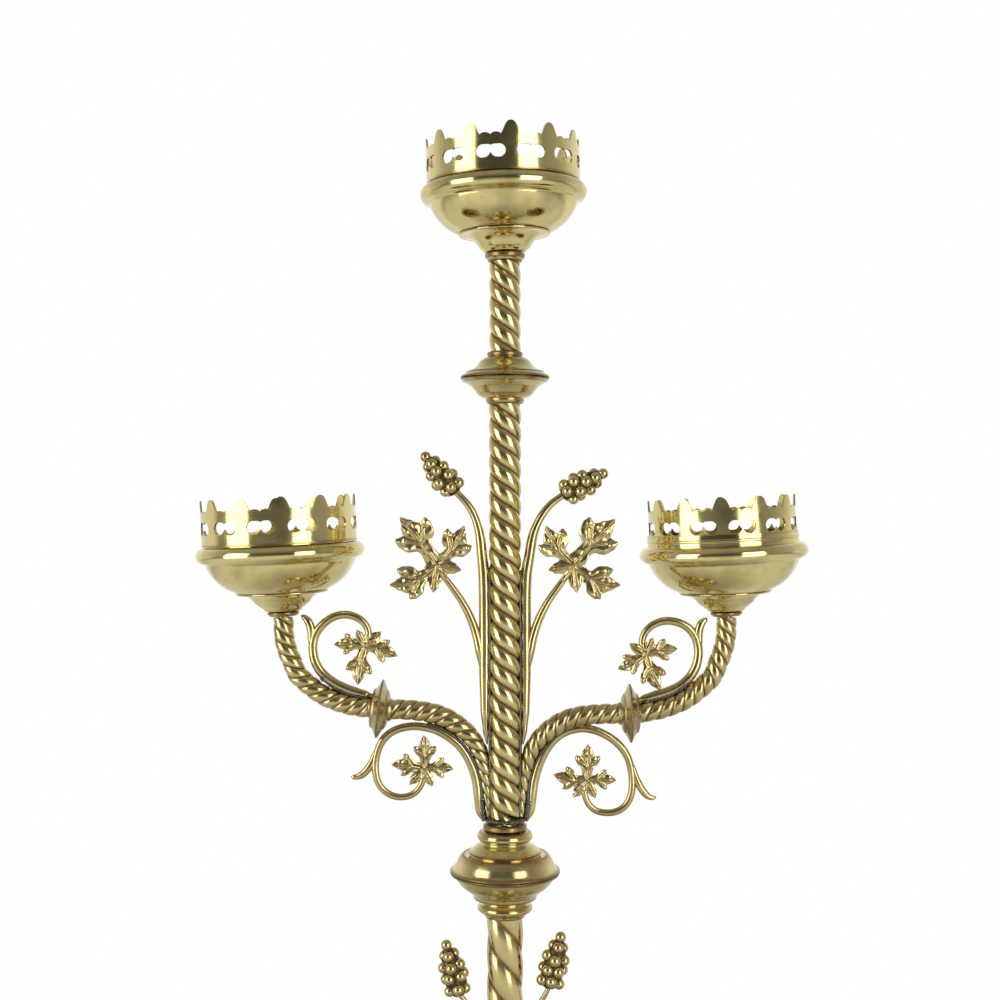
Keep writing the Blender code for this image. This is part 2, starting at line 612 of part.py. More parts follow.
def build_cup(label, axis):
    """One cup of crown, bowl and bell, and the candle socket whose screw holds it on its arm. The
    right crown stands inside its bowl's lip, and the others stand round theirs."""
    crown_r, lip_r = CROWN_OUTSIDE_R, LIP_INSIDE_R
    if label == "right":
        crown_r, lip_r = CROWN_INSIDE_R, LIP_OUTSIDE_R
    half_bay = 180 / CROWN_PEAKS
    build_crown(label + "_crown", crown_r, math.radians(CROWN_PHASE[label] + half_bay - 90), axis)
    half = TORUS_HEIGHT / 2
    middle = -half - 0.5
    bowl = [(lip_r - 0.8, LIP_HEIGHT), (lip_r, LIP_HEIGHT), (lip_r, -0.8)]
    bowl += arc(TORUS_R - half, middle, half, 75, -75, 4)
    bowl += arc(*BOWL_ROUND, BOWL_ROUND_R, -19, -66, 4) + [(25.9, BOWL_FLOOR - 1.0)]
    hollow = [(BOWL_HOLE_R, BOWL_FLOOR - 1.0), (BOWL_HOLE_R, BOWL_FLOOR), (25.0, BOWL_FLOOR)]
    hollow += arc(*BOWL_ROUND, BOWL_ROUND_R - BOWL_SHEET, -66, -21, 3) + [(38.6, -GAP), (lip_r - 0.8, -GAP)]
    turned(label + "_bowl", bowl, hollow, segments=20, parent=axis)
    cap_r = BOWL_HOLE_R - GAP
    bell = [(cap_r, BOWL_FLOOR), (cap_r, BELL_TOP), (25.4, BELL_TOP), (25.0, -27.4), (19.0, -30.2),
            (13.0, -34.0), (10.2, BELL_FOOT)]
    bored(label + "_bell", bell, STUD_HOLE_R, parent=axis)
    outer_r = CANDLE_R + 1.5
    socket = [(outer_r, SOCKET_TOP), (outer_r, SOCKET_FLOOR + 1.0), (17.0, SOCKET_FLOOR - 1.2),
              (17.0, BOWL_FLOOR + GAP), (STUD_R, BOWL_FLOOR + GAP), (STUD_R, STUD_END)]
    well = [(0.0, STUD_END), (0.0, SOCKET_FLOOR), (CANDLE_R, SOCKET_FLOOR), (CANDLE_R, SOCKET_TOP)]
    turned(label + "_socket", socket, well, "inner", 16, axis)


def build_cups():
    """The cups' own frames stand at the plane that each crown rests on."""
    rise = CUP_COLLAR_DEPTH - BELL_FOOT
    for side, label in SIDES:
        foot = Vector((side * ARM_END[0], 0, ARM_END[1] + CUP_LIFT_OFF))
        lift = Vector((math.sin(SIDE_LEAN), 0, math.cos(SIDE_LEAN))) * rise
        axis = add_empty(label + "_cup_axis", foot + lift, SIDE_LEAN)
        build_cup(label, axis)
        build_arm(side, label, axis)
    top_foot = Vector((0, 0, TOP_COLLAR_TOP))
    top_lift = Vector((math.sin(TOP_LEAN), 0, math.cos(TOP_LEAN))) * -BELL_FOOT
    top_axis = add_empty("top_cup_axis", top_foot + top_lift, TOP_LEAN)
    stud_bore = rod_cutter("top_stud_bore", 3.9, STUD_END - 1.5, BELL_FOOT, top_axis)
    boolean(MODEL.objects["upper_shaft"], stud_bore, "DIFFERENCE")
    build_cup("top", top_axis)


def main():
    build_base()
    build_stem()
    build_cups()
    for side, label in SIDES:
        build_scrolls(side, label)
        build_sprigs(side, label)


main()
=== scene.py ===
"""The looks of the brass candelabra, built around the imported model.

Lengths are in millimetres and become metres through MM. Every piece stands for one CAD node, or is a small
extra such as solder, and rides on the body that the node belongs to.
"""

import json
import math
import random

import bmesh
import bpy
import numpy as np
from mathutils import Matrix, Vector, noise


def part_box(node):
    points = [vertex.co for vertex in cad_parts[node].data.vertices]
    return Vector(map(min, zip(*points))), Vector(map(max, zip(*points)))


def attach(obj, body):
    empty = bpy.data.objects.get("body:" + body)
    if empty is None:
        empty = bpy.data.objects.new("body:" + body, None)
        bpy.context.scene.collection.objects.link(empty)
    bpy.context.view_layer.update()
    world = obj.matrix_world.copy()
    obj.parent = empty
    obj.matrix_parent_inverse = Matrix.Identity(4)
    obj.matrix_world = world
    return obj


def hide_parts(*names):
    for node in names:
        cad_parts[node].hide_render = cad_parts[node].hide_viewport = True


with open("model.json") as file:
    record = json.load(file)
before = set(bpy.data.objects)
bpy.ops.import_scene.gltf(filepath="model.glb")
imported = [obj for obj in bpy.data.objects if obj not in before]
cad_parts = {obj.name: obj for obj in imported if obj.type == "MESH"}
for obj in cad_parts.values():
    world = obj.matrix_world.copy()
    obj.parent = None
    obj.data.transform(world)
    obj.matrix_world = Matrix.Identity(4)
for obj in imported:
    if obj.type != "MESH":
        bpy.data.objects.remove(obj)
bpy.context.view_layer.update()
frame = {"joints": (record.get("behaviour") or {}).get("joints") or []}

MM = 0.001
SIDES = (("left", -1), ("right", 1))
STRANDS = 3


# --- where the frame puts things

def low(node):
    """A node's lowest corner in millimetres."""
    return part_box(node)[0] / MM


def high(node):
    """A node's highest corner in millimetres."""
    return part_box(node)[1] / MM


def span(node):
    """The heights of a node's bottom and top in millimetres."""
    return low(node)[2], high(node)[2]


def middle(node):
    return (low(node) + high(node)) / 2


def cup_frame(label):
    """The plane that a cup's crown stands on, from the axis of the joint that turns its socket."""
    seat_to_crown = 22.0
    for joint in frame["joints"]:
        if joint["name"] == label + "_socket_turn":
            axis = Vector(joint["axis"])
            foot = Vector(joint["pos_m"]) / MM + axis * seat_to_crown
    turn = Vector((0, 0, 1)).rotation_difference(axis).to_matrix().to_4x4()
    return Matrix.Translation(foot) @ turn


# --- meshes

def turned_out(points, faces):
    """Faces wound so that the mesh's volume is positive."""
    volume = 0.0
    for face in faces:
        a = points[face[0]]
        for i in range(1, len(face) - 1):
            volume += np.dot(a, np.cross(points[face[i]], points[face[i + 1]]))
    if volume < 0:
        return [face[::-1] for face in faces]
    return faces


class Shape:
    """Points in millimetres, faces, and for each point how deep it lies in a recess (0 to 1) and how
    far along the piece it is, in millimetres."""

    def __init__(self):
        self.points = []
        self.faces = []
        self.cavity = []
        self.along = []

    def add(self, points, faces, cavity=None, along=None, matrix=None):
        start = len(self.points)
        faces = turned_out(np.array(points, float), faces)
        if matrix is not None:
            points = [matrix @ Vector(p) for p in points]
        self.points += [tuple(p) for p in points]
        self.faces += [[i + start for i in face] for face in faces]
        self.cavity += list(cavity) if cavity is not None else [0.0] * len(points)
        self.along += list(along) if along is not None else [0.0] * len(points)
        return self


def mesh_of(name, shape):
    """A mesh of the shape's points and faces, in metres."""
    mesh = bpy.data.meshes.new(name)
    mesh.from_pydata([(x * MM, y * MM, z * MM) for x, y, z in shape.points], [], shape.faces)
    return mesh


def linked(name, data):
    """An object in the scene that shows a mesh, a light or a camera."""
    obj = bpy.data.objects.new(name, data)
    bpy.context.scene.collection.objects.link(obj)
    return obj


def settled(obj):
    """The mesh that an object's modifiers make."""
    bpy.context.view_layer.update()
    return bpy.data.meshes.new_from_object(obj.evaluated_get(bpy.context.evaluated_depsgraph_get()))


def add_layer(mesh, key, values=None):
    """A number for each point of a mesh, which its material reads; 0 everywhere if no values are given."""
    layer = mesh.attributes.new(key, "FLOAT", "POINT")
    if values is not None:
        layer.data.foreach_set("value", np.array(values, np.float32))


def show(name, mesh, material, body, nodes):
    """Puts a mesh in the scene in its brass, hangs it on the body it rides on, and hides the nodes it stands
    for.
    """
    mesh.materials.clear()
    mesh.materials.append(material)
    obj = linked(name, mesh)
    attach(obj, body)
    if nodes:
        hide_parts(*nodes)


def finish_piece(name, shape, material, body, nodes, sharp=35.0):
    """A visible piece made from a shape."""
    mesh = mesh_of(name, shape)
    for key in ("cavity", "along"):
        add_layer(mesh, key, getattr(shape, key))
    mesh.shade_smooth()
    mesh.set_sharp_from_angle(angle=math.radians(sharp))
    show(name, mesh, material, body, nodes)


def node_piece(node, shape, material, sharp=35.0, body="stand"):
    """The visible piece that stands for one CAD node."""
    finish_piece("look_" + node, shape, material, body, [node], sharp)


def vectors_of(items, key):
    """A mesh's points or normals as rows of three."""
    values = np.empty(len(items) * 3, np.float64)
    items.foreach_get(key, values)
    return values.reshape(-1, 3)


def neighbour_mean(mesh):
    """A function that gives each point of the mesh the mean of its neighbours' values."""
    count = len(mesh.vertices)
    ends = np.empty(len(mesh.edges) * 2, np.int32)
    mesh.edges.foreach_get("vertices", ends)
    a, b = ends[0::2], ends[1::2]
    links = np.maximum(np.bincount(ends, minlength=count), 1)

    def spread(values):
        total = np.bincount(a, weights=values[b], minlength=count)
        total += np.bincount(b, weights=values[a], minlength=count)
        return total / links

    return spread


def averaged(mesh, values, rounds):
    """Values at a mesh's points, each eased towards its neighbours' mean."""
    spread = neighbour_mean(mesh)
    for _ in range(rounds):
        values = 0.5 * (values + spread(values))
    return values


def recess_of(mesh, reach, strength):
    """How deep each point of a mesh lies below its neighbourhood: 0 on open faces, up to 1 in creases."""
    points = vectors_of(mesh.vertices, "co")
    normals = vectors_of(mesh.vertex_normals, "vector")
    spread = neighbour_mean(mesh)
    smooth = points.copy()
    for _ in range(reach):
        smooth = np.stack([spread(smooth[:, k]) for k in range(3)], axis=1)
    depth = np.einsum("ij,ij->i", smooth - points, normals) / MM
    return np.clip(spread(depth * strength), 0.0, 1.0)


# --- outlines and routes

def below(level, points):
    """A profile's points from their radius and how far they lie below a level."""
    return [(r, level - drop) for r, drop in points]


def above(level, points):
    return [(r, level + rise) for r, rise in points]


def arc(centre_r, centre_z, radius, start, end, steps):
    """Points of a round moulding, by angle from the outward direction."""
    points = []
    for i in range(steps + 1):
        a = math.radians(start + (end - start) * i / steps)
        points.append((centre_r + radius * math.cos(a), centre_z + radius * math.sin(a)))
    return points


def rounded(points, radius, closed=True):
    """A profile with every corner eased, and how concave it is at each point."""
    out = []
    hollow = []
    count = len(points)
    for i, corner in enumerate(points):
        p = Vector(corner)
        before = Vector(points[i - 1]) - p
        after = Vector(points[(i + 1) % count]) - p
        if not closed and i in (0, count - 1):
            out.append(tuple(p))
            hollow.append(0.0)
            continue
        reach = min(radius, before.length * 0.45, after.length * 0.45)
        a = p + before.normalized() * reach
        b = p + after.normalized() * reach
        bend = before.x * after.y - before.y * after.x
        sharpness = abs(bend) / max(1e-9, before.length * after.length)
        for t in (0.0, 0.25, 0.5, 0.75, 1.0):
            q = a.lerp(p, t).lerp(p.lerp(b, t), t)
            out.append(tuple(q))
            hollow.append(sharpness if bend > 0 else 0.0)
    return out, hollow


def revolved(profile, segments):
    """The points and faces of a closed profile turned about the vertical axis."""
    points, faces = [], []
    count = len(profile)
    for s in range(segments):
        a = 2 * math.pi * s / segments
        points += [(r * math.cos(a), r * math.sin(a), z) for r, z in profile]
        t = (s + 1) % segments
        for i in range(count):
            j = (i + 1) % count
            faces.append([s * count + i, s * count + j, t * count + j, t * count + i])
    return points, faces


def lathe(shape, outer, inner, matrix=None, ease=0.35, segments=96):
    """A turned ring. outer runs down the outside from the top, inner back up the bore."""
    profile, corner = rounded(list(outer) + list(inner), ease)
    points, run, deep = [profile[0]], [0.0], [corner[0]]
    for (p, _), (q, d) in zip(zip(profile, corner), zip(profile[1:], corner[1:])):
        length = math.dist(p, q)
        if length < 1e-4:
            continue
        parts = max(1, round(length / 2.5))
        for k in range(1, parts + 1):
            t = k / parts
            points.append((p[0] + (q[0] - p[0]) * t, p[1] + (q[1] - p[1]) * t))
            run.append(run[-1] + length / parts)
            deep.append(d if k == parts else 0.0)
    if math.dist(points[0], points[-1]) < 1e-4:
        points, run, deep = points[:-1], run[:-1], deep[:-1]
    spread = [0.7 * max(d * math.exp(-((here - there) / 0.5) ** 2) for d,
                        there in zip(deep, run)) for here in run]
    verts, faces = revolved(points, segments)
    return shape.add(verts, faces, spread * segments, run * segments, matrix)


def smooth_route(points, step):
    """Points at an even spacing along a smooth curve through given ones."""
    knots = [Vector(p) for p in points]
    knots = [2 * knots[0] - knots[1]] + knots + [2 * knots[-1] - knots[-2]]
    fine = []
    for a, b, c, d in zip(knots, knots[1:], knots[2:], knots[3:]):
        for i in range(24):
            t = i / 24
            fine.append(0.5 * (2 * b + (c - a) * t + (2 * a - 5 * b + 4 * c - d) * t * t
                               + (3 * b - a - 3 * c + d) * t ** 3))
    fine.append(knots[-2])
    run = [0.0]
    for a, b in zip(fine, fine[1:]):
        run.append(run[-1] + (b - a).length)
    count = max(2, round(run[-1] / step))
    even = []
    spot = 0
    for i in range(count + 1):
        want = run[-1] * i / count
        while spot < len(run) - 2 and run[spot + 1] < want:
            spot += 1
        share = (want - run[spot]) / (run[spot + 1] - run[spot])
        even.append(fine[spot].lerp(fine[spot + 1], share))
    return even, run[-1]


def upright(points, side=1, front=0.0):
    """Outward and upward distances as points of the plane of the arms."""
    return [(side * x, front, z) for x, z in points]


def between(stops, share):
    """The value at a share of the length, from (share, value) stops, eased between them."""
    for (s0, v0), (s1, v1) in zip(stops, stops[1:]):
        if share <= s1:
            t = (share - s0) / max(1e-9, s1 - s0)
            t = t * t * (3 - 2 * t)
            return v0 + (v1 - v0) * t
    return stops[-1][1]


def loft(shape, route, section, closed_ends=True, matrix=None):
    """A skin through sections along a route. section(i, share, run) gives (angle, radius, cavity) for
    each corner, about the route's own direction."""
    verts, faces, cavity, along = [], [], [], []
    run = 0.0
    front = Vector((0, -1, 0))
    count = len(route)
    width = 0
    for i, point in enumerate(route):
        before = route[max(0, i - 1)]
        after = route[min(count - 1, i + 1)]
        ahead = (after - before).normalized()
        across = ahead.cross(front).normalized()
        ahead_front = across.cross(ahead)
        if i:
            run += (point - route[i - 1]).length
        corners = section(i, i / (count - 1), run)
        width = len(corners)
        for angle, radius, deep in corners:
            place = point + (across * math.cos(angle) + ahead_front * math.sin(angle)) * radius
            verts.append(tuple(place))
            cavity.append(deep)
            along.append(run)
    for i in range(count - 1):
        for k in range(width):
            m = (k + 1) % width
            faces.append([i * width + k, i * width + m, (i + 1) * width + m, (i + 1) * width + k])
    if closed_ends:
        faces.append(list(range(width))[::-1])
        faces.append([(count - 1) * width + k for k in range(width)])
    return shape.add(verts, faces, cavity, along, matrix)


def twisted_bar(shape, route, radius, lead, stops=((0.0, 1.0), (1.0, 1.0)), start=0.0, per_strand=14,
                groove=(0.17, 2.3)):
    """A bar of three left-handed strands with a sharp groove between neighbours; groove is its depth as a
    share of the radius, and how suddenly it starts."""
    points, _ = smooth_route(route, lead / 34)
    groove_depth, suddenness = groove

    def section(i, share, run):
        size = radius * between(stops, share)
        twist = start + 2 * math.pi * run / lead
        corners = []
        for k in range(STRANDS * per_strand):
            u = 2 * ((k % per_strand) / per_strand) - 1
            side = abs(u)
            r = size * (1 - groove_depth * side ** suddenness)
            # The groove's floor gets cavity, which the brass paints as patina darkening to a painted shade
            # between the strands.
            deep = max(0.0, (side - 0.68) / 0.32) ** 1.3
            corners.append((2 * math.pi * k / (STRANDS * per_strand) + twist, r, deep))
        return corners

    return loft(shape, points, section)


def wire(shape, route, stops, step=0.9, sides=16, flat=1.0):
    """A wire with rounded ends; stops give its radius along it, and flat its depth from front to back."""
    points, length = smooth_route(route, step)

    def section(i, share, run):
        size = between(stops, share)
        end = min(run, length - run) / max(size, 0.2)
        if end < 1.0:
            size *= math.sqrt(max(0.02, 1 - (1 - end) ** 2))
        corners = []
        for k in range(sides):
            a = 2 * math.pi * k / sides
            r = size / math.sqrt(math.cos(a) ** 2 + (math.sin(a) / flat) ** 2)
            corners.append((a, r, 0.0))
        return corners

    return loft(shape, points, section)


# --- materials

def new_material(name):
    material = bpy.data.materials.new(name)
    material.use_nodes = True
    tree = material.node_tree
    return material, tree, tree.nodes["Principled BSDF"]


def feed(tree, socket, value):
    """Links a socket to another one, or sets it to a number or a colour."""
    if isinstance(value, bpy.types.NodeSocket):
        tree.links.new(value, socket)
    else:
        socket.default_value = (*value, 1.0) if isinstance(value, tuple) else value


def add_node(tree, kind, **values):
    """A node with its settings, and with what feeds its inputs: in_From_Min is the input "From Min"."""
    node = tree.nodes.new(kind)
    for key, value in values.items():
        if key.startswith("in_"):
            feed(tree, node.inputs[key[3:].replace("_", " ")], value)
        else:
            setattr(node, key, value)
    return node


def noise_field(tree, coords, scale, detail=3.0, roughness=0.55):
    field = add_node(tree, "ShaderNodeTexNoise", in_Vector=coords, in_Scale=scale, in_Detail=detail,
                     in_Roughness=roughness)
    return field.outputs["Fac"]


def ramp(tree, value, low_at, high_at, low_value=0.0, high_value=1.0):
    """value mapped linearly from one span to another and held at the ends."""
    node = add_node(tree, "ShaderNodeMapRange", clamp=True, in_Value=value, in_From_Min=low_at,
                    in_From_Max=high_at, in_To_Min=low_value, in_To_Max=high_value)
    return node.outputs["Result"]


def maths(tree, operation, a, b):
    node = add_node(tree, "ShaderNodeMath", operation=operation, use_clamp=True)
    feed(tree, node.inputs[0], a)
    feed(tree, node.inputs[1], b)
    return node.outputs[0]


def mix_colour(tree, share, a, b):
    node = add_node(tree, "ShaderNodeMix", data_type="RGBA")
    colour_a, colour_b, colour_out = 6, 7, 2
    for index, value in ((0, share), (colour_a, a), (colour_b, b)):
        feed(tree, node.inputs[index], value)
    return node.outputs[colour_out]


def bumped(tree, height, strength, distance, normal=None):
    """A normal bent by a height field, on top of an earlier one if there is one."""
    node = add_node(tree, "ShaderNodeBump", in_Strength=strength, in_Distance=distance, in_Height=height)
    if normal is not None:
        feed(tree, node.inputs["Normal"], normal)
    return node.outputs["Normal"]


def brass(name, clean, tarnish, patina, roughness, stain=0.5, turning=0.0, dents=0.0, pits=0.5, crease=1.0):
    """Old brass: clean metal, cloudy tarnish, brown patina in the recesses that turns to a near-black
    painted shade in the deepest creases, fine pits and polish marks.
    """
    material, tree, shader = new_material(name)
    coords = add_node(tree, "ShaderNodeTexCoord").outputs["Object"]
    cavity = add_node(tree, "ShaderNodeAttribute", attribute_name="cavity").outputs["Fac"]
    along = add_node(tree, "ShaderNodeAttribute", attribute_name="along").outputs["Fac"]

    clouds = ramp(tree, noise_field(tree, coords, 55.0, 5.0), 0.45, 0.72, 0.0, stain)
    specks = ramp(tree, noise_field(tree, coords, 420.0, 4.0, 0.7), 0.62, 0.74, 0.0, stain)
    ragged = ramp(tree, noise_field(tree, coords, 900.0, 3.0), 0.2, 0.8, 0.55, 1.35)
    recess = maths(tree, "MULTIPLY", maths(tree, "MULTIPLY", cavity, crease), ragged)
    rim = ramp(tree, recess, 0.05, 0.45, 0.0, 0.75)
    heart = ramp(tree, recess, 0.45, 1.0, 0.0, 0.9)
    cloudy = mix_colour(tree, maths(tree, "MAXIMUM", clouds, specks), clean, tarnish)
    stained = mix_colour(tree, rim, cloudy, patina)
    # Deep in the recesses the patina gives way to near black: a painted shade, not a colour of the metal.
    painted_crease_shade = tuple(c * 0.28 for c in patina)
    feed(tree, shader.inputs["Base Color"], mix_colour(tree, heart, stained, painted_crease_shade))

    wear = maths(tree, "ADD", ramp(tree, noise_field(tree, coords, 130.0, 4.0), 0.3, 0.8, roughness * 0.7,
                                   roughness * 1.5), ramp(tree, recess, 0.1, 1.0, 0.0, 0.35))
    rough = maths(tree, "ADD", wear, maths(tree, "MULTIPLY", specks, 0.15))
    feed(tree, shader.inputs["Roughness"], rough)
    shader.inputs["Metallic"].default_value = 1.0

    height = maths(tree, "MULTIPLY", noise_field(tree, coords, 2600.0, 2.0), 0.35 * pits)
    small_pits = ramp(tree, noise_field(tree, coords, 700.0, 2.0), 0.18, 0.32, 0.0, pits)
    height = maths(tree, "ADD", height, small_pits)
    normal = bumped(tree, height, 0.16, 0.00012)
    if turning:
        rings = add_node(tree, "ShaderNodeTexNoise", noise_dimensions="1D", in_W=along, in_Scale=2.2,
                         in_Detail=4.0)
        normal = bumped(tree, rings.outputs["Fac"], turning, 0.0002, normal)
    if dents:
        normal = bumped(tree, noise_field(tree, coords, 48.0, 1.0), dents, 0.001, normal)
    feed(tree, shader.inputs["Normal"], normal)
    return material


CLEAN = (0.80, 0.68, 0.30)
OLD = (0.52, 0.40, 0.15)
BROWN = (0.28, 0.17, 0.06)
POLISHED = brass("polished_twist", (0.67, 0.565, 0.26), OLD, (0.33, 0.19, 0.065), 0.18, stain=0.6,
                 dents=0.14)
TWISTED = brass("twisted_arm", (0.58, 0.485, 0.23), (0.42, 0.32, 0.13), (0.27, 0.16, 0.06), 0.21, stain=0.7,
                dents=0.2)
SPUN = brass("spun_bowl", (0.73, 0.62, 0.27), (0.42, 0.33, 0.135), BROWN, 0.095, stain=0.75, turning=0.07,
             dents=0.38, pits=0.25, crease=0.3)
FOOT = brass("spun_foot", CLEAN, OLD, BROWN, 0.11, stain=0.4, turning=0.10, dents=0.22, pits=0.25)
SHEET = brass("crown_sheet", (0.70, 0.59, 0.26), OLD, BROWN, 0.14, stain=0.45, dents=0.22, pits=0.25)
TURNED = brass("turned_knop", (0.63, 0.53, 0.245), (0.43, 0.33, 0.13), BROWN, 0.14, stain=0.75, turning=0.2,
               dents=0.16, crease=1.1)
SATIN = brass("satin_knop", (0.47, 0.39, 0.195), (0.29, 0.22, 0.10), BROWN, 0.26, stain=0.9, turning=0.12,
              dents=0.12, pits=0.6, crease=0.9)
WIRE = brass("scroll_wire", (0.56, 0.455, 0.205), (0.38, 0.285, 0.115), BROWN, 0.20, stain=0.8, dents=0.25)
CAST = brass("cast_leaf", (0.56, 0.46, 0.22), (0.35, 0.25, 0.11), (0.17, 0.11, 0.05), 0.20, stain=0.6,
             dents=0.12, pits=0.2)
GRAPE = brass("cast_grape", (0.60, 0.49, 0.23), (0.38, 0.28, 0.12), (0.18, 0.12, 0.065), 0.17, stain=0.7,
              dents=0.1, pits=0.6)
DULL = brass("dull_inner", (0.52, 0.41, 0.18), (0.30, 0.22, 0.09), BROWN, 0.38, stain=0.8, turning=0.2,
             pits=1.0)
SOLDER = brass("grey_solder", (0.135, 0.135, 0.13), (0.11, 0.09, 0.06), (0.04, 0.035, 0.03), 0.42,
               stain=0.9, dents=0.5, pits=1.0)


# --- foot and stem

STEM_BORE = 3.4
CUP_BORE = 3.5


def ring_piece(node, outer, bore=STEM_BORE):
    """A turned, bored piece of the stem."""
    inner = [(bore, outer[-1][1]), (bore, outer[0][1])]
    node_piece(node, lathe(Shape(), outer, inner), TURNED)


def build_foot():
    for index in (1, 2, 3):
        node = f"base_foot_{index}"
        spot = middle(node)
        top = high(node)[2]
        outer = below(top, [(0.6, 0), (7.5, 0), (9, 0.6), (8.2, 1.6)]) + arc(8.0, 5.8, 4.9, 52, -62, 14)
        outer += [(8.6, 0.5), (8, 0), (0.6, 0)]
        shape = lathe(Shape(), outer, [], Matrix.Translation((spot.x, spot.y, 0)), ease=0.3, segments=64)
        node_piece(node, shape, TURNED)

    foot, top = span("base_rim")
    reach = high("base_rim")[0]
    rim = below(top, [(79, 0), (81, 0), (81.6, 0.9)]) + arc(reach - 4.4, top - 4.3, 3.6, 80, -50, 16)
    rim += [(reach - 3.0, foot + 0.9), (reach - 3.4, foot)]
    shape = lathe(Shape(), rim, [(62, foot), (62, foot + 3.0), (70, top)], ease=0.4, segments=192)
    node_piece("base_rim", shape, FOOT)

    foot, top = span("base_dome")
    dome = below(top, [(24, 0), (26.4, 0.5), (26.6, 2), (25.2, 3.4)])
    dome += arc(57.0, top - 2.0, 31.0, 188, 232, 12)
    dome += below(top, [(40.2, 12.4), (41.4, 12.8), (41.4, 14.2), (43, 14.6)])
    dome += arc(46.0, top - 44.0, 29.0, 84, 46, 12) + above(foot, [(70, 2.6), (77, 1.4), (78, 0)])
    hollow = [(70, foot), (66, foot + 2.4), (44, 27), (36, 29.5), (28, 35.5), (21, 41), (STEM_BORE, 41),
              (STEM_BORE, top)]
    shape = lathe(Shape(), dome, hollow, ease=0.5, segments=192)
    node_piece("base_dome", shape, FOOT)

    foot, top = span("base_neck")
    neck = below(top, [(11, 0), (13, 0.6), (15.3, 2.6), (13.6, 4.8), (12, 5.4)])
    neck += arc(17.4, top - 11.6, 8.0, 140, 224, 12)
    neck += below(top, [(12.9, 18), (13.9, 18.8), (13.9, 20.4), (13.2, 21.2)])
    neck += arc(26.0, top - 21.5, 12.8, 184, 236, 8) + above(foot, [(21, 1.8), (22, 1.2), (22, 0)])
    ring_piece("base_neck", neck)

    foot, top = span("base_washer")
    shape = lathe(Shape(), [(11, top), (11, foot)], [(STEM_BORE, foot), (STEM_BORE, top)], ease=0.3,
                  segments=48)
    node_piece("base_washer", shape, DULL)
    foot, top = span("base_nut")
    shape = lathe(Shape(), [(6.5, top), (6.5, foot)], [(STEM_BORE, foot), (STEM_BORE, top)], segments=6)
    node_piece("base_nut", shape, DULL, sharp=20)
    foot, top = span("tie_rod")
    thread = [(0.4, top), (3, top)]
    pitch = 1.0
    turns = 16
    for i in range(turns):
        z = foot + (turns - i) * pitch
        thread += [(3, z), (2.55, z - pitch / 2)]
    thread += [(2.6, foot), (0.4, foot)]
    shape = lathe(Shape(), thread, [], ease=0.15, segments=24)
    node_piece("tie_rod", shape, DULL)


# How far the lower knop and the branch collar sit above their CAD height.
LOWER_KNOP_RISE = 2.0
# Each shaft's radius, lead, strand start, (depth, width) of its grooves, and how far it runs on upwards.
SHAFTS = {
    "lower_shaft": (9.95, 60.0, 0.4, (0.10, 2.0), LOWER_KNOP_RISE + 0.4),
    "main_shaft": (8.95, 30.0, 0.0, (0.17, 2.3), 0.0),
    "upper_shaft": (8.7, 30.0, 0.8, (0.17, 2.3), 0.0),
}


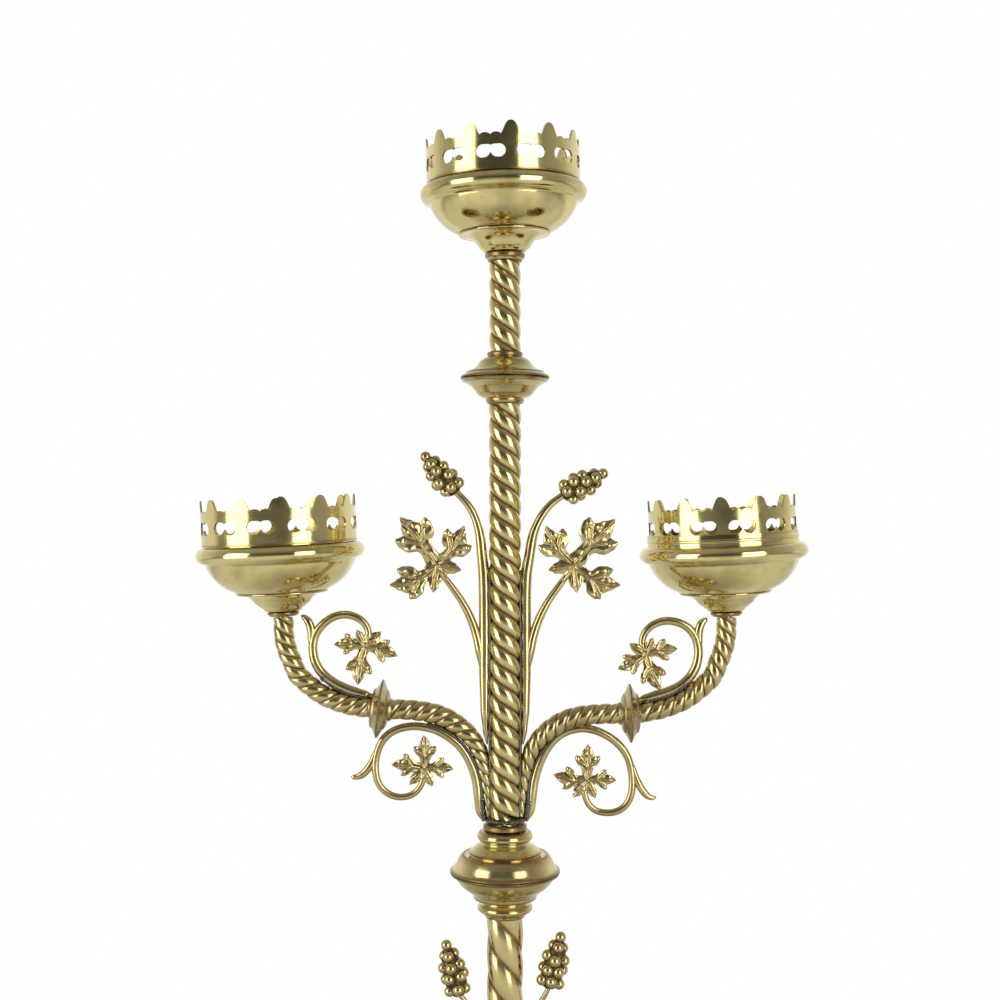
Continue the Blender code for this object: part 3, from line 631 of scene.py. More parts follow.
def build_stem():
    foot, top = span("lower_collar")
    collar = below(top, [(10.5, 0), (11.5, 0.5), (11.5, 1.4), (15.3, 2.4)])
    collar += arc(14.6, top - 5.2, 2.5, 62, -62, 12)
    collar += below(top, [(14.6, 8.4), (13.2, 9.6), (12, 10.6)]) + [(12, foot)]
    ring_piece("lower_collar", collar)

    foot, rim = (z + LOWER_KNOP_RISE for z in span("lower_knop_bottom"))
    bottom = below(rim, [(29.6, 0), (30.2, 0.5), (29.6, 1.6)]) + arc(13.0, rim + 3.6, 15.6, -22, -62, 10)
    bottom += below(rim, [(18.2, 12), (17.7, 12.8), (17.2, 14.6), (14, 15.4), (12.6, 16.4)])
    bottom += arc(12.9, foot + 4.9, 2.2, 66, -66, 10) + above(foot, [(12, 2.2), (11.3, 1), (11, 0)])
    ring_piece("lower_knop_bottom", bottom)

    top, foot = high("lower_knop_top")[2] + LOWER_KNOP_RISE, rim
    upper = [(12.4, top), (13.2, top - 0.4)] + arc(12.3, top - 2.9, 2.9, 62, -62, 12)
    upper += below(top, [(13.2, 5.9), (13.6, 6.8), (15.6, 8), (18.2, 10.1), (19.5, 11.1), (20.1, 11.8),
                         (19.3, 12.5), (19.4, 12.9), (20.8, 13.1)])
    upper += above(foot, [(23.2, 9.6), (25, 8), (26.2, 5.9), (26.9, 4.2), (27.4, 3), (27.9, 2), (29.3, 1.6),
                          (30.2, 0.8), (30, 0)])
    ring_piece("lower_knop_top", upper)

    foot, top = (z + LOWER_KNOP_RISE for z in span("branch_collar"))
    ring_piece("branch_collar", below(top, [(10.8, 0), (12, 0.9)]) + above(foot, [(12, 0.8), (11.2, 0)]))

    foot, rim = span("mid_knop_bottom")
    bottom = below(rim, [(23.9, 0), (24.5, 0.35), (23.7, 1.2), (23, 2), (21.4, 2.7)])
    bottom += below(rim, [(18.4, 4.6), (16.4, 7), (15.2, 8.6), (13.4, 10), (11.6, 10.8), (10.4, 11.3)])
    bottom += [(10.6, rim - 12.2), (10.2, rim - 13.2), (9.6, foot)]
    ring_piece("mid_knop_bottom", bottom)
    foot, top = span("mid_knop_top")
    upper = below(top, [(9.2, 0), (9.8, 0.5), (9.8, 1.9), (9.2, 2.5), (11.8, 3.5), (13.9, 5.1)])
    upper += below(top, [(15.2, 7), (16.4, 8.3), (18.6, 9.8), (21.6, 10.9), (21.9, 11.6)])
    upper += [(23.4, top - 12.4)] + above(foot, [(24.2, 1), (24.5, 0.3), (24.2, 0)])
    ring_piece("mid_knop_top", upper)

    foot, top = span("top_cup_collar")
    collar = below(top, [(9.8, 0), (10.9, 0.6), (10.9, 2.6), (10.2, 3.2), (9.8, 3.6)]) + [(9.2, foot)]
    ring_piece("top_cup_collar", collar, CUP_BORE)

    for name, (radius, lead, start, groove, rise) in SHAFTS.items():
        foot, top = span(name)
        top += rise
        route = [(0, 0, foot), (0, 0, (foot + top) / 2), (0, 0, top)]
        shape = twisted_bar(Shape(), route, radius, lead, start=start, groove=groove)
        node_piece(name, shape, POLISHED, sharp=50)


# --- arms and scrolls

ARM_R = 5.6
ARM_GROOVE = (0.145, 2.8)
# How far each arm's knop sits above its CAD height, and how many degrees its disc leans in at the top.
KNOP_SET = {"left": (1.3, 7.0), "right": (-1.2, 1.0)}


def raised(points, first, last):
    """Points lifted by one height at the first of them, changing evenly to another at the last."""
    count = len(points) - 1
    return [(x, z + first + (last - first) * i / count) for i, (x, z) in enumerate(points)]


def build_arm(side, label):
    knop = middle(label + "_arm_knop")
    cup = cup_frame(label)
    arm_top = cup @ Vector((0, 0, -40.8))
    x0, z0 = abs(knop.x), knop.z
    rise, lean = KNOP_SET[label]
    inner = [(x0 - 5.6, z0 - 0.2), (x0 - 17.5, z0 - 0.6), (x0 - 26.9, z0 - 1.7), (34.3, z0 - 3.8),
             (27.5, z0 - 7.4), (20.6, z0 - 12.8), (15, 320.2), (11.7, 310), (10.1, 300), (9.2, 290),
             (8.8, 280)]
    inner = raised(inner, rise, 0.0)
    swell = ((0, 1), (0.38, 1), (0.48, 0.94), (0.57, 0.86), (0.68, 0.72), (0.79, 0.56), (0.90, 0.46),
             (1, 0.34))
    shape = twisted_bar(Shape(), upright(inner, side), ARM_R, 20.0, swell, 0.5, 10, ARM_GROOVE)
    node_piece(label + "_inner_arm", shape, TWISTED, sharp=50)
    outer = [(abs(arm_top.x), arm_top.z), (x0 + 52.6, z0 + 41.2), (x0 + 50.7, z0 + 33.0),
             (x0 + 48.0, z0 + 26.4), (x0 + 44.9, z0 + 19.4), (x0 + 37.2, z0 + 12.3), (x0 + 29.2, z0 + 6.8),
             (x0 + 18.0, z0 + 2.6), (x0 + 6.2, z0 + 0.4)]
    outer = raised(outer, 0.0, rise)
    shape = twisted_bar(Shape(), upright(outer, side), ARM_R, 20.0, start=1.2, per_strand=10,
                        groove=ARM_GROOVE)
    node_piece(label + "_outer_arm", shape, TWISTED, sharp=50)

    tilt = Matrix.Rotation(side * math.radians(90.0 - lean), 4, "Y")
    ring = [(4.6, 7.8), (5.2, 7.2), (5.4, 6), (5.8, 5.4), (8.6, 4.9), (10.6, 4.2), (11.2, 3), (13, 1.9),
            (15.9, 0.45), (16.25, 0), (15.9, -0.45), (13, -1.9), (11.2, -2.8), (10.6, -3.6), (8.6, -4.6),
            (6.4, -5), (6.2, -5.8), (5.8, -6.6), (5.2, -7)]
    place = Matrix.Translation((side * x0, 0, z0 + rise)) @ tilt
    shape = lathe(Shape(), ring, [(3, -7), (3, 7.8)], place, ease=0.25)
    node_piece(label + "_arm_knop", shape, SATIN)

    collar = [(7.8, -37.3), (8.7, -37.9), (8.7, -38.8), (8.1, -39.3), (7.6, -39.6), (7.6, -39.9)]
    shape = lathe(Shape(), collar, [(CUP_BORE, -39.9), (CUP_BORE, -37.3)], cup, ease=0.25, segments=64)
    node_piece(label + "_cup_collar", shape, TURNED)


# The scrolls of each side: the wire's route, the spur's route, and the leaf's centre, main lobes as (tip,
# curl, bend), small lobes as (tip, bend) and the point from which its stem comes.
SCROLLS = {
    "left_lower": (
        [(11.6, 279.6), (13.9, 284.8), (14.6, 290.5), (15.1, 296.5), (15.8, 301.8), (17.2, 307.2),
         (19.2, 312.2), (21.8, 317), (25.2, 321.4), (29.8, 325.4), (35.4, 328.8), (42, 331.2),
         (49.4, 332.2), (56.6, 331.3), (62.4, 328.9), (66.8, 324.9), (69.6, 319.6), (71, 313.6),
         (71.1, 307.6), (69.8, 301.6), (66.4, 296.8), (61, 293.8), (54.8, 293.4), (49.7, 295.5),
         (46.4, 299.4), (45, 303.4), (44.6, 307)],
        [(69.6, 321), (71.7, 316.4), (73.2, 312.4), (75.4, 308.7), (78.4, 305.7), (81.8, 304.3),
         (84.8, 304.4)],
        (44.5, 308.8), [((44.7, 327.4), 0.04, 1.2), ((62.4, 311.3), 0.05, 1.6), ((28.2, 308.8), -0.05, 0.8)],
        [((52.4, 300.4), 1.8), ((39.8, 299.2), 0.6)], (45.4, 303.6)),
    "right_lower": (
        [(11.6, 279.6), (14.2, 285.6), (14.9, 291), (15.4, 296.6), (16.2, 302.2), (17.8, 308.2),
         (20.2, 314.4), (23.4, 320.2), (27, 324.6), (31, 327.8), (36, 330), (42, 331), (48.4, 330.2),
         (54.6, 327.8), (60.4, 324), (65, 319.2), (67.7, 314.4), (69.2, 309), (69.9, 303), (69.7, 297),
         (68.2, 291.6), (65, 287.5), (61, 285.3), (56, 284.6), (50.5, 285.6), (46.4, 288.8), (44.2, 293.4),
         (43.8, 297), (44.4, 300.6)],
        [(68.6, 314), (70.5, 308.6), (72.6, 302.4), (75.1, 297.6), (78, 294.2), (80.6, 292.9),
         (83.2, 293.3)],
        (45, 302.4), [((45.6, 322.6), 0, 1.2), ((61.2, 302.6), 0.04, 1.4), ((26.6, 305.8), 0.04, 0.8)],
        [((49.8, 292.8), 1.4), ((37.2, 293.2), 0.8)], (43.8, 297)),
    "left_upper": (
        [(72.4, 349), (76.4, 349.5), (80.6, 350.5), (87.6, 352.9), (94.8, 356.6), (100.7, 361.6),
         (104.1, 367.2), (105.5, 373.4), (105.2, 379.4), (103, 384.6), (99, 389.2), (93.6, 392.5),
         (87.4, 393.5), (81.4, 391.9), (77, 388.4), (75, 383.6), (75.8, 379)],
        [(105.9, 374), (106.5, 380), (106.4, 384.6), (107.4, 388.4), (109.3, 391.2), (112, 393.2)],
        (77, 376), [((80.7, 355), 0.05, 1.2), ((94, 377.2), 0.05, 1.5), ((59, 370.8), -0.05, 0.8)],
        [((81.4, 385.4), 1.8), ((68, 384.2), 0.6)], (75.2, 382.4)),
    "right_upper": (
        [(72.4, 346.2), (76.4, 347.2), (82.5, 349), (90, 351.3), (96.5, 354.6), (101.5, 359.1),
         (104.8, 364.8), (106.2, 371), (105.9, 377), (104, 382.2), (100.2, 386.6), (94.4, 389.4),
         (87.6, 390), (81.4, 387.9), (77.4, 384.2), (75.4, 379.4), (76, 374.6)],
        [(106.2, 373), (106.7, 378.6), (106.4, 383.4), (107.2, 387.2), (109, 389.8), (111.4, 391.4)],
        (77.3, 371.8), [((85.2, 352), -0.04, 1.2), ((94.8, 374.9), 0.04, 1.5), ((61.8, 363.6), 0.04, 0.8)],
        [((81.2, 381), 1.6), ((68.2, 377.6), 0.6)], (75.4, 378)),
}


def build_scrolls(side, label):
    even = ((0, 0.7), (0.05, 1.9), (0.12, 2.2), (0.3, 2.15), (0.5, 2), (0.75, 1.8), (1, 1.55))
    thorn = ((0, 1), (0.3, 1.55), (0.55, 1.95), (0.75, 1.85), (0.9, 1.35), (1, 0.7))
    for level in ("lower", "upper"):
        route, spur, centre, lobes, small, stalk = SCROLLS[f"{label}_{level}"]
        name = f"{label}_{level}_scroll"
        stout = 1.25 if level == "upper" else 1.12
        shape = wire(Shape(), upright(route, side), [(share, r * stout) for share, r in even], flat=0.85)
        wire(shape, upright(spur, side), [(share, r * stout) for share, r in thorn], flat=0.8)
        node_piece(name, shape, WIRE, sharp=60)
        leaf(name + "_leaf", side, centre, lobes, small, stalk)


# --- leaves

LEAF_VOXEL = 0.26


def blade(bm, line, widths, thick=1.0, dome=0.2):
    """A domed strip of leaf along a smooth line in the plane of the arms, (x, z, front) points, with
    (share, width) stops and a low midrib."""
    points, _ = smooth_route([(x, -front, z) for x, z, front in line], 0.8)
    rows, columns = len(points) - 1, 12
    layers = []
    for back in (0, 1):
        layer = []
        for i, point in enumerate(points):
            ahead = points[min(rows, i + 1)] - points[max(0, i - 1)]
            across = Vector((-ahead.z, 0, ahead.x)).normalized()
            half = between(widths, i / rows) / 2
            row = []
            for j in range(columns + 1):
                v = 2 * j / columns - 1
                rise = dome * half * (1 - abs(v) ** 2.2)
                if back:
                    rise -= thick * (1.25 - 0.6 * abs(v) ** 3)
                else:
                    rise += 0.12 * math.exp(-((v * half) / 0.5) ** 2)
                row.append(bm.verts.new(point + across * (v * half) - Vector((0, rise, 0))))
            layer.append(row)
        layers.append(layer)
    front, rear = layers
    for i in range(rows):
        for j in range(columns):
            bm.faces.new((front[i][j], front[i][j + 1], front[i + 1][j + 1], front[i + 1][j]))
            bm.faces.new((rear[i][j + 1], rear[i][j], rear[i + 1][j], rear[i + 1][j + 1]))
    for i in range(rows):
        bm.faces.new((front[i][0], front[i + 1][0], rear[i + 1][0], rear[i][0]))
        bm.faces.new((front[i + 1][columns], front[i][columns], rear[i][columns], rear[i + 1][columns]))
    for j in range(columns):
        bm.faces.new((front[0][j + 1], front[0][j], rear[0][j], rear[0][j + 1]))
        bm.faces.new((front[rows][j], front[rows][j + 1], rear[rows][j + 1], rear[rows][j]))


# A main lobe's parts as shares of its length: the body's (place, width) stops, a tooth's (along, aside) line
# on either side and the tooth's (place, width) stops.
BROAD_LOBE = (
    ((0, 0.27), (0.14, 0.28), (0.28, 0.29), (0.42, 0.42), (0.55, 0.56), (0.62, 0.48), (0.69, 0.36),
     (0.80, 0.30), (0.90, 0.17), (0.97, 0.07), (1, 0.03)),
    ((0.40, 0.07), (0.53, 0.20), (0.67, 0.33)), ((0, 0.14), (0.45, 0.24), (0.78, 0.18), (1, 0.05)))
LONG_LOBE = (
    ((0, 0.30), (0.14, 0.30), (0.24, 0.26), (0.33, 0.24), (0.46, 0.37), (0.59, 0.57), (0.65, 0.52),
     (0.71, 0.38), (0.83, 0.25), (0.94, 0.10), (1, 0.03)),
    ((0.38, 0.05), (0.57, 0.20), (0.75, 0.31)), ((0, 0.14), (0.45, 0.27), (0.78, 0.20), (1, 0.05)))


def lobe(bm, veins, bosses, centre, tip, curl, bend, pattern):
    """A main lobe of a pattern: a waist that widens to a pointed tip with a tooth on either side. curl bows
    its midrib sideways, and bend carries its tip towards the front. Its veins, and the bosses near its
    points, are added to their lists."""
    centre, tip = Vector(centre), Vector(tip)
    ahead = tip - centre
    across = Vector((-ahead.y, ahead.x))
    length = ahead.length
    body, tooth, tooth_widths = pattern

    def at(along, aside, front):
        bow = curl * 4 * along * (1 - along)
        spot = centre + ahead * along + across * (aside + bow)
        return (spot.x, spot.y, front)

    spine = [at(-0.04, 0, 0), at(0.3, 0, 0.9), at(0.65, 0, 0.6 + bend * 0.5), at(1.0, 0, bend)]
    blade(bm, spine, [(place, width * length) for place, width in body], dome=0.1)
    veins.append([at(i / 8, 0, 0)[:2] for i in range(9)])
    bosses += [at(0.74, hand * 0.075, 0)[:2] for hand in (-1, 1)]
    for hand in (-1, 1):
        line = [at(along, hand * aside, 0.5 + bend * along) for along, aside in tooth]
        blade(bm, line, [(place, width * length) for place, width in tooth_widths], dome=0.22)
        along, aside = tooth[2]
        veins.append([at(along - 0.30, hand * 0.02, 0)[:2], at(along - 0.14, hand * aside * 0.55, 0)[:2]])
        bosses.append(at(along - 0.09, hand * aside * 0.82, 0)[:2])


def emboss(mesh, veins, bosses):
    """Raises veins with a furrow on either side of them and a boss near each point, and makes the panels
    between them uneven."""
    points = vectors_of(mesh.vertices, "co")
    facing = np.clip(-vectors_of(mesh.vertex_normals, "vector")[:, 1] * 2 - 0.3, 0.0, 1.0)
    flat = points[:, [0, 2]] / MM
    nearest = np.full(len(flat), 99.0)
    for vein in veins:
        for a, b in zip(vein, vein[1:]):
            a, b = np.array(a), np.array(b)
            share = np.clip((flat - a) @ (b - a) / max(1e-9, (b - a) @ (b - a)), 0.0, 1.0)
            gap = np.linalg.norm(flat - a - share[:, None] * (b - a), axis=1)
            nearest = np.minimum(nearest, gap)
    rise = 0.8 * np.exp(-(nearest / 0.65) ** 2) - 0.2 * np.exp(-((nearest - 1.6) / 0.8) ** 2)
    for boss in bosses:
        rise += 0.65 * np.exp(-(np.linalg.norm(flat - np.array(boss), axis=1) / 1.5) ** 2)
    lump = np.array([noise.noise(Vector((x * 0.24, 3.7, z * 0.24))) for x, z in flat])
    points[:, 1] -= (rise + 0.8 * lump) * averaged(mesh, facing, 4) * MM
    for axis in range(3):
        points[:, axis] = averaged(mesh, points[:, axis].copy(), 4)
    mesh.vertices.foreach_set("co", points.ravel())
    mesh.update()


def cast(node, bm, veins, bosses):
    """Melts a leaf's lobes into one casting, embosses it and finds its recesses."""
    for face in bm.faces:
        face.smooth = True
    bmesh.ops.recalc_face_normals(bm, faces=bm.faces)
    bmesh.ops.scale(bm, vec=(MM, MM, MM), verts=bm.verts)
    mesh = bpy.data.meshes.new(node + "_parts")
    bm.to_mesh(mesh)
    bm.free()
    raw = linked(node + "_parts", mesh)
    melt = raw.modifiers.new("Melt", "REMESH")
    melt.mode = "VOXEL"
    melt.voxel_size = LEAF_VOXEL * MM
    melt.use_smooth_shade = True
    ease = raw.modifiers.new("Ease", "SMOOTH")
    ease.factor = 0.5
    ease.iterations = 8
    made = settled(raw)
    bpy.data.objects.remove(raw, do_unlink=True)
    made.name = "look_" + node
    emboss(made, veins, bosses)
    add_layer(made, "cavity", averaged(made, recess_of(made, 6, 3.0), 4))
    add_layer(made, "along")
    made.shade_smooth()
    show(made.name, made, CAST, "stand", [node])


def leaf(node, side, centre, lobes, small, stalk, pattern=BROAD_LOBE):
    """A cast leaf from its centre, its main lobes' (tip, curl, bend) and its small lobes' (tip, bend).
    stalk is the point from which its stem comes."""
    bm = bmesh.new()
    veins, bosses = [], []
    heart = (side * centre[0], centre[1])
    for (x, z), curl, bend in lobes:
        lobe(bm, veins, bosses, heart, (side * x, z), side * curl, bend, pattern)
    for (x, z), bend in small:
        middle_x, middle_z = (centre[0] + x) / 2, (centre[1] + z) / 2
        line = [(heart[0], heart[1], 0.3), (side * middle_x, middle_z, 0.9), (side * x, z, bend)]
        width = math.dist(centre, (x, z)) * 0.56
        blade(bm, line, ((0.0, width * 0.8), (0.45, width), (0.72, width * 0.78), (0.92, width * 0.3),
                         (1.0, 0.4)))
        veins.append([spot[:2] for spot in line])
    line = [(side * stalk[0], stalk[1], 0.9), (heart[0], heart[1], 1.5)]
    blade(bm, line, ((0.0, 3.2), (1.0, 1.4)), thick=2.4, dome=0.7)
    cast(node, bm, veins, bosses)


# --- grapes and sprigs

def ball_mesh(rings, sectors, place):
    """A ball's points and faces; place turns a unit direction into a point."""
    points = [place(Vector((0, 0, 1)))]
    for i in range(1, rings):
        p = math.pi * i / rings
        for j in range(sectors):
            q = 2 * math.pi * j / sectors
            points.append(place(Vector((math.sin(p) * math.cos(q), math.sin(p) * math.sin(q), math.cos(p)))))
    points.append(place(Vector((0, 0, -1))))
    last = len(points) - 1
    faces = []
    for j in range(sectors):
        k = (j + 1) % sectors
        faces.append([0, 1 + j, 1 + k])
        faces.append([last, last - sectors + k, last - sectors + j])
    for i in range(rings - 2):
        for j in range(sectors):
            k = (j + 1) % sectors
            a = 1 + i * sectors
            faces.append([a + j, a + sectors + j, a + sectors + k, a + k])
    return points, faces


def grape_cluster(node, foot, tip, side, seed):
    """Round grapes packed in rings round a core, from the stalk to a single grape at the tip."""
    dice = random.Random(seed)
    foot = Vector((side * foot[0], 0, foot[1]))
    axis = Vector((side * tip[0], 0, tip[1])) - foot
    turn = Vector((0, 0, 1)).rotation_difference(axis.normalized()).to_matrix().to_4x4()
    place = Matrix.Translation(foot) @ turn
    length = axis.length
    balls = [(Vector((0.0, 0.0, length)), 3)]
    rows = ((0.80, 3, 3), (0.58, 4.9, 5), (0.35, 5.5, 5), (0.12, 4.9, 5))
    for row, (share, ring, count) in enumerate(rows):
        for i in range(count):
            a = 2 * math.pi * (i + 0.5 * (row % 2) + 0.25) / count + dice.uniform(-0.12, 0.12)
            r = ring * dice.uniform(0.92, 1.06)
            z = length * share + dice.uniform(-0.7, 0.7)
            balls.append((Vector((r * math.cos(a), r * math.sin(a), z)), dice.uniform(2.9, 3.25)))
    shape = Shape()
    for index, (centre, radius) in enumerate(balls):
        points, faces = ball_mesh(16, 26, lambda out: centre + out * radius)
        # Each grape darkens where it comes near a neighbour: patina with a painted shade between the grapes.
        deep = []
        for spot in points:
            nearest = min((spot - c).length - r for k, (c, r) in enumerate(balls) if k != index)
            deep.append(max(0.0, 0.85 - max(0.0, nearest) / 0.8))
        shape.add(points, faces, deep, None, place)
    core = [(0.4, length * 0.98), (2.4, length * 0.94), (4.4, length * 0.76), (5.7, length * 0.54),
            (6.3, length * 0.32), (5.6, length * 0.1), (3.2, -0.8), (0.4, -1.4)]
    start = len(shape.points)
    lathe(shape, core, [], place, ease=0.5, segments=32)
    # The core gets full cavity, so it is painted near black: a painted shade in the gaps between the grapes.
    shape.cavity[start:] = [1.0] * (len(shape.points) - start)
    node_piece(node, shape, GRAPE, sharp=60)


SPRIG_END = {
    "left": [(12.6, 426), (14, 438), (16.6, 447), (20.2, 453.6), (25.2, 459.2), (28, 462.4)],
    "right": [(13.4, 426), (15.6, 438), (19.6, 447), (24.6, 453.6), (29.6, 457.6), (33.6, 460.4)],
}
VINE_TIP = {"left": (57.6, 447.0), "right": (60.4, 445.9)}
BUNCH_LINE = {"left": ((27.4, 461.2), (43.6, 480.2)), "right": ((32.2, 459.6), (53.8, 471.0))}
LOW_BUNCH_LINE = {"left": ((25.2, 185.3), (32.2, 211.9)), "right": ((24.1, 189.6), (30.6, 216.3))}


def build_sprigs(side, label):
    bunch = [(9.8, 322), (10.6, 330), (11, 342), (11.1, 362), (11.1, 386), (11.4, 412)]
    bunch += SPRIG_END[label]
    stalk = [(12.4, 362), (13.6, 372), (15.6, 382), (18.9, 391.6), (23.6, 400.6), (28.6, 407.8),
             (33.6, 414.6), (38.4, 421.4)]
    swell = ((0, 0.6), (0.06, 1.7), (0.14, 2.6), (0.3, 3.2), (0.62, 3.2), (0.75, 2.8), (0.86, 2.2),
             (1, 1.9))
    shape = wire(Shape(), upright(bunch, side), swell, flat=0.85)
    wire(shape, upright(stalk, side), ((0, 1.4), (0.2, 2.6), (0.45, 2.4), (0.7, 2), (1, 1.6)))
    node_piece(label + "_vine_sprig", shape, WIRE, sharp=60)
    leaf(label + "_vine_leaf", side, (37.6, 421.0),
         [(VINE_TIP[label], 0.02, 1.4), ((63.4, 409.8), -0.12, 1.8), ((22.4, 442.4), 0.08, 1)],
         [((39.4, 405.6), 1.2), ((23.8, 418), 1.4)], (31.6, 412.2), LONG_LOBE)
    foot, tip = BUNCH_LINE[label]
    grape_cluster(label + "_grapes", foot, tip, side, 7 + side)

    low_foot, low_tip = LOW_BUNCH_LINE[label]
    low_bunch = [(14.2, 96), (14, 110), (14, 135), (14.8, 158), (17.4, 172), (22.4, 180.6),
                 (low_foot[0] + 0.1, 183.6)]
    low_bunch = raised(low_bunch, 0.0, low_foot[1] - 184.0)
    low_stalk = [(14.2, 108), (16.2, 120), (20, 130.4), (25.4, 138.4), (31.6, 143.6), (38.6, 147.4)]
    shape = wire(Shape(), upright(low_bunch, side), ((0, 2), (0.03, 2.3), (0.7, 2.1), (1, 1.4)))
    wire(shape, upright(low_stalk, side), ((0, 1.1), (0.3, 1.5), (1, 1.1)))
    node_piece(label + "_lower_sprig", shape, WIRE, sharp=60)
    leaf(label + "_lower_leaf", side, (40.0, 148.0),
         [((54, 163), 0.03, 1.2), ((58, 140), -0.1, 1.4), ((33, 163), 0.05, 0.8)],
         [((40, 134.5), 1), ((31, 146), 1)], (35.0, 145.8))
    grape_cluster(label + "_lower_grapes", low_foot, low_tip, side, 17 + side)


# --- cups

CROWN_HEIGHT = 25.3
PEAKS = 12
CROWN_PATTERN_R = 42.2
CROWN_SHEET = 1.0
CROWN_TURN = {"left": 10.5, "right": -8.0, "top": 6.0}
CROWN_R = {"left": 42.2, "right": 40.1, "top": 42.2}


def crown_hole():
    """Half of a bay's hole, as distance round the sheet and height: two round holes run together,
    with a pointed cusp below and a small one above."""
    centre, radius, height = 4.4, 3.6, 9.6
    half = [(0.0, height - 0.9), (0.5, height - 1.7), (1.2, height - 2.6), (2.2, height - 3.3)]
    half += arc(centre, height, radius, -110, 100, 20)
    half += [(2.6, height + 3.55), (1.2, height + 3.45), (0.5, height + 3.2), (0.0, height + 2.85)]
    return half


def crown_edge():
    """Half of a bay's upper edge: a notch in its middle, a low round lobe and the side of a peak."""
    pitch = 2 * math.pi * CROWN_PATTERN_R / PEAKS
    lobe_half, notch, rise = 2.85, 18.0, 1.15
    half = []
    for i in range(13):
        t = i / 12
        half.append((2 * lobe_half * t, notch + 0.25 * t + rise * math.sin(math.pi * t) ** 0.75))
    side = [(5.7, notch + 0.25), (6.2, notch + 1.0), (6.9, notch + 2.5), (7.7, notch + 4.3),
            (8.6, notch + 5.9), (9.6, notch + 6.9), (10.4, CROWN_HEIGHT - 0.1), (pitch / 2, CROWN_HEIGHT)]
    smooth, _ = smooth_route([(x, 0, z) for x, z in side], 0.45)
    return half[:-1] + [(p.x, p.z) for p in smooth]


def prism(bm, outline, turn):
    """A cutter that stands radially: its outline is rolled round the cup inside and outside the sheet."""
    rings = []
    clear = 4
    for radius in (CROWN_PATTERN_R - clear, CROWN_PATTERN_R + clear):
        ring = []
        for x, z in outline:
            a = turn + x / CROWN_PATTERN_R
            ring.append(bm.verts.new((radius * math.cos(a) * MM, radius * math.sin(a) * MM, z * MM)))
        rings.append(ring)
    count = len(outline)
    for i in range(count):
        j = (i + 1) % count
        bm.faces.new((rings[0][i], rings[0][j], rings[1][j], rings[1][i]))
    bm.faces.new(rings[0][::-1])
    bm.faces.new(rings[1])


def crown_mesh():
    """The pierced crown at its pattern radius, standing on zero."""
    rows = 14
    top = CROWN_HEIGHT - 0.03
    outer = [(CROWN_PATTERN_R, top * (1 - i / rows)) for i in range(rows + 1)]
    inner = [(r - CROWN_SHEET, z) for r, z in outer[::-1]]
    ring = Shape().add(*revolved(outer + inner, 288))
    blank = linked("crown_ring", mesh_of("crown_ring", ring))
    bm = bmesh.new()
    hole = crown_hole()
    edge = crown_edge()
    above = CROWN_HEIGHT + 4.0
    for bay in range(PEAKS):
        turn = 2 * math.pi * bay / PEAKS
        prism(bm, hole + [(-x, z) for x, z in hole[-2:0:-1]], turn)
        outline = edge + [(edge[-1][0], above), (-edge[-1][0], above)] + [(-x, z) for x, z in edge[:0:-1]]
        # A hair narrower than its bay, so that neighbouring cutters don't touch.
        prism(bm, [(x * 0.9995, z) for x, z in outline], turn)
    bmesh.ops.recalc_face_normals(bm, faces=bm.faces)
    cutter_mesh = bpy.data.meshes.new("crown_cutter")
    bm.to_mesh(cutter_mesh)
    bm.free()
    cutter = linked("crown_cutter", cutter_mesh)
    cut = blank.modifiers.new("Pierce", "BOOLEAN")
    cut.operation = "DIFFERENCE"
    cut.solver = "EXACT"
    cut.object = cutter
    made = settled(blank)
    for obj in (blank, cutter):
        bpy.data.objects.remove(obj, do_unlink=True)
    return made


def build_crown(label, pattern):
    name = f"look_{label}_crown"
    mesh = pattern.copy()
    mesh.name = name
    scale = CROWN_R[label] / CROWN_PATTERN_R
    half_bay = 180 / PEAKS
    spin = Matrix.Rotation(math.radians(-90 + CROWN_TURN[label] + half_bay), 4, "Z")
    place = cup_frame(label)
    place.translation *= MM
    mesh.transform(place @ spin @ Matrix.Diagonal((scale, scale, 1, 1)))
    inverse = (place @ spin).inverted()
    cavity = np.zeros(len(mesh.vertices), np.float32)
    # The sheet darkens towards its foot, over its lowest 1.6 mm.
    foot_band_height = 1.6
    for vert in mesh.vertices:
        z = (inverse @ vert.co).z / MM
        cavity[vert.index] = max(0.0, 1 - z / foot_band_height) * 0.55
    add_layer(mesh, "cavity", cavity)
    add_layer(mesh, "along")
    mesh.shade_smooth()
    mesh.set_sharp_from_angle(angle=math.radians(30))
    show(name, mesh, SHEET, label + "_cup", [label + "_crown"])


